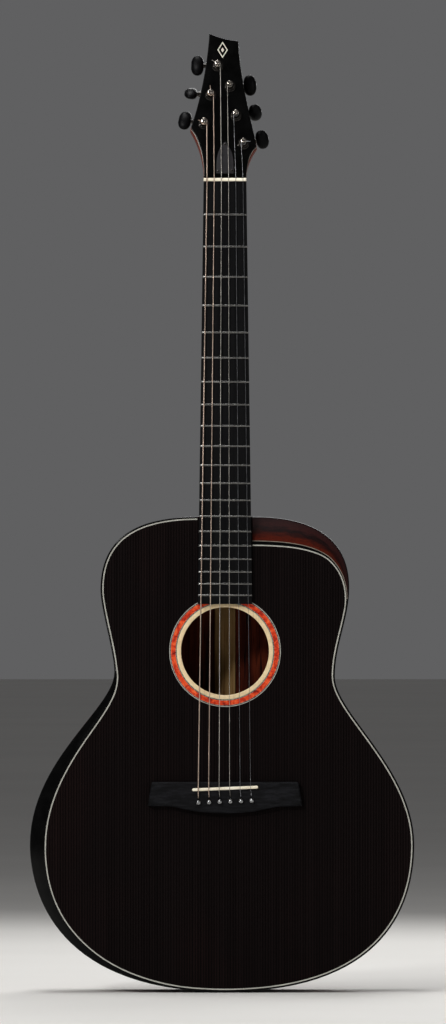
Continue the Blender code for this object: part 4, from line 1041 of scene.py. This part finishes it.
def fret_z(n):
    return -SCALE_LENGTH * (1 - 2 ** (-n / 12))


def board_y(x):
    """Depth of the fretboard's curved face."""
    return -0.3 * MM - FRETBOARD_THICKNESS + x * x / (2 * FRETBOARD_RADIUS)


def build_fretboard():
    def section(z, shrink=0.0):
        half = half_width(z) - shrink
        arc = np.linspace(-1, 1, 25) * (half - 0.5 * MM)
        crown = [(x, board_y(x) + shrink, z) for x in arc]
        edge = board_y(half) + 0.5 * MM + shrink
        return [(-half, 0.0, z), (-half, edge, z)] + crown + [(half, edge, z), (half, 0.0, z)]

    stations = [NUT_FRONT_Z - 0.05 * MM] + [fret_z(n) for n in range(1, FRET_COUNT + 1)]
    sections = [section(z) for z in stations]
    sections += [section(-FRETBOARD_LENGTH + 0.4 * MM), section(-FRETBOARD_LENGTH, 0.35 * MM)]
    piece("fretboard_blank", loft(sections), "ebony", replaces=("fretboard",))
    turns = np.linspace(0, math.pi, 9)
    for n in range(1, FRET_COUNT + 1):
        centre = fret_z(n)
        half = half_width(centre)
        sections = []
        shares = np.concatenate(([-1.0, -0.985], np.linspace(-0.96, 0.96, 17), [0.985, 1.0]))
        for x in shares * (half - 0.05 * MM):
            rise = FRET_HEIGHT * min(1.0, 0.25 + (half - abs(x)) / (1.1 * MM))
            foot = board_y(x) + 0.4 * MM
            dome = [(x, board_y(x) - rise * math.sin(t) ** 0.8, centre + FRET_WIDTH / 2 * math.cos(t))
                    for t in turns]
            sections.append([(x, foot, centre + 0.3 * MM)] + dome + [(x, foot, centre - 0.3 * MM)])
        name = f"fret_{n:02d}"
        piece(name, loft(sections), "fret")


def build_nut():
    slots = [spread(STRING_SPREAD_AT_NUT, k) for k in range(6)]
    half = NUT_WIDTH / 2
    places = {-half, half, -half + 0.6 * MM, half - 0.6 * MM}
    for x, size in zip(slots, STRING_DIAMETERS):
        reach = size / 2 + 0.1 * MM
        places |= {x - reach - 0.25 * MM, x - reach, x, x + reach, x + reach + 0.25 * MM}
    sections = []
    for x in sorted(places):
        top = NUT_TOP + 0.25 * MM
        for centre, size in zip(slots, STRING_DIAMETERS):
            if abs(x - centre) < size / 2 + 0.12 * MM:
                top = NUT_TOP - size * 0.3
        if abs(x) > half - 0.3 * MM:
            top -= 0.7 * MM
        front, back = NUT_FRONT_Z, NUT_BACK_Z
        sections.append([(x, 0.0, front), (x, -top + 0.3 * MM, front), (x, -top, front + 0.5 * MM),
                         (x, -top + 0.05 * MM, (front + back) / 2), (x, -top + 0.5 * MM, back - 1.1 * MM),
                         (x, -top + 1.3 * MM, back), (x, 0.0, back)])
    piece("nut_bone", loft(sections), "bone", replaces=("nut",))


def head_frame():
    return Matrix.Translation((0, 0, HEAD_START_Z)) @ Matrix.Rotation(math.radians(90) - HEAD_ANGLE, 4, "X")


def head_loop(reveal=0.0):
    """Outline of the headstock; reveal draws it in along the two flares."""
    bass = list(bezier((-22.9, 0), (-23, 20), (-29, 37), (-37.4, 51.8), 16))
    bass += list(bezier((-37.4, 51.8), (-29, 75), (-19.8, 115), (-16.8, 158.8), 20))[1:]
    tip = list(bezier((-16.8, 158.8), (-12.4, 156.6), (-8, 154.8), (-3.5, 153.4), 5))[1:]
    tip += list(bezier((-3.5, 153.4), (2.5, 151.6), (8, 150.8), (14.2, 150.2), 5))[1:-1]
    treble = list(bezier((14.2, 150.2), (16, 112), (26, 70), (34.3, 32.4), 20))
    treble += list(bezier((34.3, 32.4), (27.5, 22), (23.2, 12), (22.9, 0), 14))[1:]
    loop = np.array(bass + tip + treble) * MM
    flare = np.zeros(len(loop))
    for i, (x, up) in enumerate(loop):
        if x < 0 and up < 54 * MM:
            flare[i] = reveal * (0.12 + 0.88 * min(up / (44 * MM), 1.0)) * min((54 * MM - up) / (6 * MM), 1.0)
        elif x > 0 and up < 33 * MM:
            flare[i] = 0.8 * reveal * min(max(up - 8 * MM, 0) / (14 * MM),
                                          1.0) * min((34 * MM - up) / (6 * MM), 1.0)
    loop[:, 0] -= np.sign(loop[:, 0]) * flare
    return [tuple(point) for point in loop]


def build_neck():
    """Shaft with its heel and the head's slab, joined into one carved piece of wood."""
    plan = (
        (24, 5.2, 11.4, 0.7, 0.2), (14, 2.8, 13.4, 0.72, 0.1), (4.9, 0, 15, 0.75, 0),
        (0, 0, 15, 0.75, 0), (-150, 0, 16, 0.75, 0), (-285, 0, 17.5, 0.75, 0), (-306, 0, 20, 0.7, 0.05),
        (-321, 0, 28, 0.6, 0.15), (-331, 0, 44, 0.5, 0.3), (-337, 0, 68, 0.42, 0.4),
        (-341, 0, HEEL_DEPTH / MM, 0.38, 0.45), (HEEL_FRONT_Z / MM, 0, HEEL_DEPTH / MM, 0.38, 0.45),
    )
    heights = np.array([row[0] for row in plan[::-1]], float)
    fine = []
    for low, high in zip(heights, heights[1:]):
        fine += list(np.linspace(low, high, 7 if high < -280 or low > -1 else 13, endpoint=False))
    fine.append(heights[-1])
    columns = [np.interp(fine, heights, [row[c] for row in plan[::-1]]) for c in range(1, 5)]
    smooth = np.array([0.25, 0.5, 0.25])
    for _ in range(3):
        for column in columns[1:]:
            column[1:-1] = np.convolve(column, smooth, "same")[1:-1]
    sections = []
    for z, top, depth, power, taper in zip(fine, *columns):
        half = min(half_width(z * MM), NUT_WIDTH / 2 + 6 * MM) - 0.02 * MM
        if z > HEAD_START_Z / MM:
            half -= min((z - HEAD_START_Z / MM) * 0.5, 2.0) * MM
        section = []
        for turn in np.linspace(0, math.pi, 33):
            fall = max(math.sin(turn), 0) ** power
            section.append((-half * math.cos(turn) * (1 - taper * fall), (top + depth * fall) * MM, z * MM))
        sections.append(section)
    piece("neck_carved", loft(sections), "neck", replaces=("neck",))
    head = slab((head_loop(),), soft_profile(HEAD_THICKNESS - 0.05 * MM, 0.0, 1.6 * MM))
    piece("head_wood", head, "neck",
          place=head_frame() @ raised(-HEAD_THICKNESS))


def build_head_trim():
    face = head_frame()
    veneer = slab((head_loop(1.6 * MM),), ((0, 0), (0, 0.5 * MM)))
    piece("head_veneer_line", veneer, "line", place=face @ raised(-0.05 * MM))
    ledge = HEAD_START_Z - NUT_BACK_Z - 0.1 * MM
    loop = [(x, up if up > 0.1 * MM else -ledge) for x, up in head_loop(2.3 * MM)]
    plate = slab((loop,), soft_profile(HEADPLATE_TOP - 0.45 * MM, 0.6 * MM))
    piece("headplate_gloss", plate, "head", replaces=("headplate",),
          place=face @ raised(0.45 * MM))
    side = list(bezier((9.5, 2.0), (9.7, 19), (8.4, 26.5), (3.4, 32.6), 16))
    side += list(bezier((3.4, 32.6), (2.2, 34.2), (2.6, 36.6), (0, 37.2), 6))[1:]
    loop = [tuple(point * MM) for point in side] + [(-x * MM, y * MM) for x, y in side[-2::-1]]
    cover = slab((loop,), soft_profile(1.9 * MM, 0.7 * MM))
    top = HEADPLATE_TOP + 1.95 * MM
    piece("rod_cover", cover, "cover", replaces=("truss_rod_cover",),
          place=face @ raised(HEADPLATE_TOP + 0.05 * MM))
    for n, (x, up) in enumerate(((0, 34.2), (-7.4, 4.6), (7.4, 4.6))):
        profile = mm((0, 0.05), (0.3, 0.1), (0.5, 0.55), (0.9, 0.5), (1.25, 0.2), (1.3, -0.2), (0, -0.3))
        name = f"cover_screw_{n + 1}"
        piece(name, revolve(profile, 20), "nickel_painted_dark",
              place=face @ Matrix.Translation((x * MM, up * MM, top)))
    centre = 140.2 * MM
    wide, tall = 5.6 * MM, 9.2 * MM
    outer = [(0, tall), (wide, 0), (0, -tall), (-wide, 0)]
    inner = [(x * 0.78, y * 0.78) for x, y in outer]
    core = [(x * 0.3, y * 0.3) for x, y in outer]
    for name, loops in (("inlay_frame", (outer, inner)), ("inlay_core", (core,))):
        mesh = slab(loops, ((0, 0), (0, 0.08 * MM)))
        piece(name, mesh, "pearl",
              place=face @ Matrix.Translation((-2.6 * MM, centre, HEADPLATE_TOP - 0.02 * MM)))


def build_heel_cap():
    side = list(bezier((14.0, -360.5), (14.5, -350), (11, -341.5), (0, -340.5), 20))
    loop = [(x * MM, z * MM) for x, z in side] + [(-x * MM, z * MM) for x, z in side[-2::-1]]
    mesh = slab((loop,), soft_profile(2.9 * MM, 0.0, 0.9 * MM))
    piece("heel_cap_shaped", mesh, "ebony", replaces=("heel_cap",),
          place=upright(HEEL_DEPTH + 2.9 * MM))


# ---------------------------------------------------------------- tuning machines

def tuner_frame(k):
    hand = -1 if k < 3 else 1
    x, up = TUNER_POSTS[k]
    turn = Matrix.Rotation(hand * math.radians(TUNER_ANGLES[k]), 4, "Z")
    return head_frame() @ Matrix.Translation((x, up, 0)) @ turn, hand


def rounded_box_loop(low, high, radius, steps=5):
    loop = []
    for cx, cy, start in ((high[0], high[1], 0), (low[0], high[1], 90), (low[0], low[1], 180),
                          (high[0], low[1], 270)):
        centre = (cx - math.copysign(radius, cx - (low[0] + high[0]) / 2),
                  cy - math.copysign(radius, cy - (low[1] + high[1]) / 2))
        for t in np.radians(np.linspace(start, start + 90, steps + 1)):
            loop.append((centre[0] + radius * math.cos(t), centre[1] + radius * math.sin(t)))
    return loop


def build_housing(k, place, hand):
    """Die-cast gear case behind the head, and the threaded bushing with its washer in front."""
    low, high = sorted((-CASE_ENDS[0] * hand, CASE_ENDS[1] * hand))
    loop = rounded_box_loop((low, CASE_SIDES[0]), (high, CASE_SIDES[1]), 2.6 * MM)
    case = slab((loop,), soft_profile(CASE_DEPTH, 0.4 * MM, 2.2 * MM, 5))
    piece(f"tuner_case_{k + 1}", case, "nickel_painted_dark", replaces=(f"tuner_housing_{k + 1}",),
          place=place @ raised(-HEAD_THICKNESS - CASE_DEPTH - 0.05 * MM))
    collar = mm((0, 8.6), (3.1, 8.6), (3.3, 8.4), (3.4, 7.4), (3.4, 0), (0, 0))
    name = f"tuner_shaft_collar_{k + 1}"
    side = Matrix.Rotation(math.radians(90) * hand, 4, "Y")
    piece(name, revolve(collar, 28), "nickel_painted_dark",
          place=place @ Matrix.Translation((0, WORM_OFFSET, WORM_LEVEL)) @ side @ raised(5 * MM))
    screw = mm((0, -0.4), (0.8, -0.3), (1.0, 0.5), (1.9, 0.35), (2.2, -0.1), (2.2, -1), (0, -1))
    name = f"tuner_case_screw_{k + 1}"
    flip = raised(-HEAD_THICKNESS - CASE_DEPTH) @ Matrix.Rotation(math.pi, 4, "X")
    piece(name, revolve(screw, 24), "steel", place=place @ flip)
    washer = mm((6.25, 0), (6.3, 0.25), (6.0, 0.6), (5.2, 0.75), (3.6, 0.75), (3.55, 0))
    name = f"tuner_washer_{k + 1}"
    piece(name, ring_solid(washer, 48), "nickel_painted_dark",
          place=place @ raised(HEADPLATE_TOP + 0.02 * MM))
    hexagon = []
    for corner in range(6):
        for t in (-0.09, 0.09):
            angle = math.radians(60 * corner + 15) + t
            hexagon.append((5.15 * MM * math.cos(angle), 5.15 * MM * math.sin(angle)))
    bore = circle(BUSHING_BORE, 32, (0, 0))
    nut = slab((hexagon, bore), soft_profile(2.0 * MM, 0.45 * MM, 0.0, 3))
    piece(f"tuner_bushing_{k + 1}", nut, "nickel_painted_dark",
          place=place @ raised(HEADPLATE_TOP + 0.75 * MM))


def ring_solid(profile, segments):
    """A ring turned about Z from a closed (radius, height) section."""
    shape = bmesh.new()
    rows = []
    for t in np.linspace(0, 2 * math.pi, segments, endpoint=False):
        rows.append([shape.verts.new((r * math.cos(t), r * math.sin(t), h)) for r, h in profile])
    for i in range(segments):
        for k in range(len(profile)):
            after = (k + 1) % len(profile)
            following = rows[(i + 1) % segments]
            shape.faces.new((rows[i][k], rows[i][after], following[after], following[k]))
    return finished(shape)


def build_post(k, place, hand):
    """Post with a dished top and a waist, the turns of its string, and the string's clipped end."""
    radius = POST_RADIUS
    top = POST_TOP / MM
    profile = mm((0, top - 0.5), (1.1, top - 0.45), (1.5, top), (2.4, top), (2.85, top - 0.2),
                 (3.0, top - 0.7),
                 (3.0, 12.7), (2.7, 12.2), (2.4, 11.4), (2.34, 10), (2.4, 8.4), (2.76, 7.6), (3.0, 7.2),
                 (3.0, -17.5), (0, -17.5))
    body = f"post_{k + 1}"
    piece(f"tuner_post_turned_{k + 1}", revolve(profile, 40), "nickel", body=body,
          replaces=(f"tuner_post_{k + 1}",), place=place)
    string = STRING_DIAMETERS[k] / 2
    coil = POST_WAIST * radius + string
    turns = STRING_TURNS[k]
    direction = -hand
    inner = start_angle(k, place)
    steps = int(turns * 28)
    path = []
    for i in range(steps + 1):
        share = i / steps
        angle = inner + direction * share * turns * 2 * math.pi
        height = STRING_LEVEL + string + share * min(turns * 2 * string * 1.08, 3.4 * MM)
        path.append((coil * math.cos(angle), coil * math.sin(angle), height))
    look, slot = STRING_LOOKS[k], STRING_SLOTS[k]
    name = f"string_turns_{k + 1}"
    piece(name, loft(sweep_rows(path, string, 10)), look, body=body, place=place)
    tail_angle, tail_length = STRING_ENDS[k]
    aim = math.radians(tail_angle - hand * TUNER_ANGLES[k])
    out = Vector((math.cos(aim), math.sin(aim), 0))
    level = STRING_END_LEVEL
    end = [out * 0.4 * MM + Vector((0, 0, level)), out * (radius + 0.6 * MM) + Vector((0, 0, level)),
           out * tail_length * MM + Vector((0, 0, level + 1.4 * MM))]
    name = f"string_end_{k + 1}"
    piece(name, loft(sweep_rows(rounded_path(end, 1.2 * MM), string, 10)), look, body=body, place=place)


def start_angle(k, place):
    """Angle in the tuner's own frame where the string meets the post on its inner side."""
    inner = -math.copysign(1.0, TUNER_POSTS[k][0])
    direction = place.to_3x3().inverted() @ Vector((inner, 0, 0))
    return math.atan2(direction.y, direction.x)


def build_button(k, place, hand):
    """Oval grip with a domed end screw, on its shaft."""
    shares = (0.0, 0.02, 0.08, 0.18, 0.32, 0.48, 0.64, 0.76, 0.86, 0.93, 0.98, 1.0)
    near = BUTTON_REACH - BUTTON_DEPTH / 2
    knots_long = ((0.0, 0.44), (0.08, 0.7), (0.26, 0.93), (0.46, 1.0), (0.62, 0.985), (0.8, 0.86),
                  (0.93, 0.64), (1.0, 0.4))
    knots_thick = ((0.0, 0.5), (0.08, 0.82), (0.25, 1.0), (0.55, 0.97), (0.8, 0.78), (1.0, 0.42))
    turns = np.linspace(0, 2 * math.pi, 44, endpoint=False)

    def oval(height, long_half, thick_half):
        return [(long_half * math.cos(t), thick_half * math.sin(t), height) for t in turns]

    sections = [oval(near, 2.2 * MM, 2.2 * MM)]
    for share, a, b in zip(shares, eased(np.array(shares), knots_long), eased(np.array(shares), knots_thick)):
        sections.append(oval(near + share * BUTTON_DEPTH, a * BUTTON_LENGTH / 2, b * BUTTON_THICKNESS / 2))
    far = near + BUTTON_DEPTH
    sections.append(oval(far, 0.1 * MM, 0.1 * MM))
    along = place @ Matrix.Translation((0, WORM_OFFSET,
                                        WORM_LEVEL)) @ Matrix.Rotation(math.radians(90) * hand, 4, "Y")
    at_rest = along @ Matrix.Rotation(math.radians(90 + BUTTON_REST_TURNS[k]), 4, "Z")
    body = f"button_{k + 1}"
    piece(f"tuner_grip_{k + 1}", loft(sections), "button", body=body,
          replaces=(f"tuner_button_{k + 1}",), place=at_rest)
    base, tip = near / MM, far / MM
    shaft = mm((0, -5.4), (1.9, -5.4), (1.9, 12), (2.1, 12.4), (2.1, base - 0.9), (2.6, base - 0.8),
               (2.6, base + 0.2), (0, base + 0.2))
    piece(f"tuner_grip_shaft_{k + 1}", revolve(shaft, 28), "nickel_painted_dark", body=body, place=at_rest)
    screw = mm((0, tip - 1.5), (2.0, tip - 1.5), (2.0, tip - 0.2), (1.6, tip + 0.1), (0.8, tip + 0.25),
               (0.6, tip - 0.3), (0, tip - 0.35))
    piece(f"tuner_grip_screw_{k + 1}", revolve(screw, 24), "steel", body=body, place=at_rest)


# ---------------------------------------------------------------- strings

def build_string(k, place):
    radius = STRING_DIAMETERS[k] / 2
    pin_x, pin_z = pin_place(k)
    saddle_x = spread(STRING_SPREAD_AT_SADDLE, k) - 0.7 * MM
    nut_x = spread(STRING_SPREAD_AT_NUT, k)
    level = STRING_LEVEL + radius
    coil = POST_WAIST * POST_RADIUS + radius
    angle = start_angle(k, place)
    contact = place @ Vector((coil * math.cos(angle), coil * math.sin(angle), level))
    corners = [
        (pin_x, -3.5 * MM, pin_z + 2.0 * MM),
        (pin_x, -BRIDGE_HEIGHT + 0.2 * MM, pin_z + 5.0 * MM),
        (saddle_x, -SADDLE_TOP - 0.7 * radius, saddle_z(saddle_x) - 1.3 * MM),
        (saddle_x, -SADDLE_TOP - radius, saddle_z(saddle_x) + 0.2 * MM),
        (nut_x, -NUT_TOP - 0.3 * radius, 0.2 * MM),
        (nut_x, -NUT_TOP - 0.1 * radius, NUT_THICKNESS - 1.6 * MM),
        tuple(contact),
    ]
    name = f"string_{STRING_NAMES[k]}"
    look, slot = STRING_LOOKS[k], STRING_SLOTS[k]
    mesh = loft(sweep_rows(rounded_path(corners, 1.2 * MM), radius, 14))
    piece(f"{name}_strung", mesh, look, replaces=(name,))
    if k < 4:
        return
    start, end = Vector(corners[1]), Vector(corners[2])
    path = [start.lerp(end, t) for t in np.linspace(0.0, 0.42, 22)]
    radii = [radius * (1.9 + 0.35 * math.sin(9 * t)) for t in np.linspace(0, 2 * math.pi, 22)]
    radii[-1] = radius * 1.05
    piece(f"{name}_lock_twist", loft(sweep_rows(path, radii, 12)), "plain")


# ---------------------------------------------------------------- assembly

def finish_cad_nodes():
    """Procedural materials on the CAD nodes that stay in view or inside the body."""
    looks = {"tail_graft": "ebony", "truss_rod": "steel", "truss_rod_nut": "nickel", "bridge_plate": "maple"}
    for name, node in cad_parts.items():
        node.data.materials.clear()
        node.data.materials.append(LOOKS[looks.get(name, "spruce")])


def build_camera():
    data = bpy.data.cameras.new("camera")
    data.sensor_width = 36
    data.lens = data.sensor_width * CAMERA_DISTANCE / VIEW_HEIGHT
    camera = bpy.data.objects.new("camera", data)
    camera.location = CAMERA_PLACE
    camera.rotation_euler = (math.radians(90), 0, 0)
    bpy.context.scene.collection.objects.link(camera)
    bpy.context.scene.camera = camera


def area_light(name, place, target, size, power):
    data = bpy.data.lights.new(name, "AREA")
    data.shape = "RECTANGLE"
    data.size, data.size_y = size
    data.energy = power
    light = bpy.data.objects.new(name, data)
    light.location = place
    light.rotation_euler = (Vector(target) - Vector(place)).to_track_quat("-Z", "Y").to_euler()
    bpy.context.scene.collection.objects.link(light)


def build_studio():
    for light in LIGHTS:
        area_light(*light)
    world = bpy.data.worlds.new("studio")
    world.use_nodes = True
    background = world.node_tree.nodes["Background"]
    background.inputs["Color"].default_value = srgb(*WORLD_COLOUR)
    background.inputs["Strength"].default_value = WORLD_STRENGTH
    bpy.context.scene.world = world
    shape = bmesh.new()
    bmesh.ops.create_grid(shape, x_segments=2, y_segments=2, size=FLOOR_HALF)
    mesh = bpy.data.meshes.new("floor")
    shape.to_mesh(mesh)
    shape.free()
    floor = bpy.data.objects.new("floor", mesh)
    floor.location = (0, 0, BODY_TAIL_Z - FLOOR_GAP)
    mesh.materials.append(LOOKS["floor"])
    bpy.context.scene.collection.objects.link(floor)
    bpy.context.scene.view_settings.view_transform = "Standard"


def main():
    build_camera()
    build_studio()
    finish_cad_nodes()
    bass = Rim(-1, BASS_SIDE, ARM_BEVEL, ARM_BEVEL_DROP)
    treble = Rim(1, TREBLE_SIDE, CUTAWAY_BEVEL, CUTAWAY_BEVEL_DROP)
    build_soundboard(bass, treble)
    build_top_trim(bass, treble)
    build_rings()
    build_bevels(bass, treble)
    build_side(bass, "rib_bass", "side_bass")
    build_side(treble, "rib_treble", "side_treble")
    build_back(bass, treble)
    build_neck_block()
    build_bridge()
    build_pins()
    build_fretboard()
    build_nut()
    build_neck()
    build_head_trim()
    build_heel_cap()
    for k in range(6):
        place, hand = tuner_frame(k)
        build_housing(k, place, hand)
        build_post(k, place, hand)
        build_button(k, place, hand)
        build_string(k, place)


main()
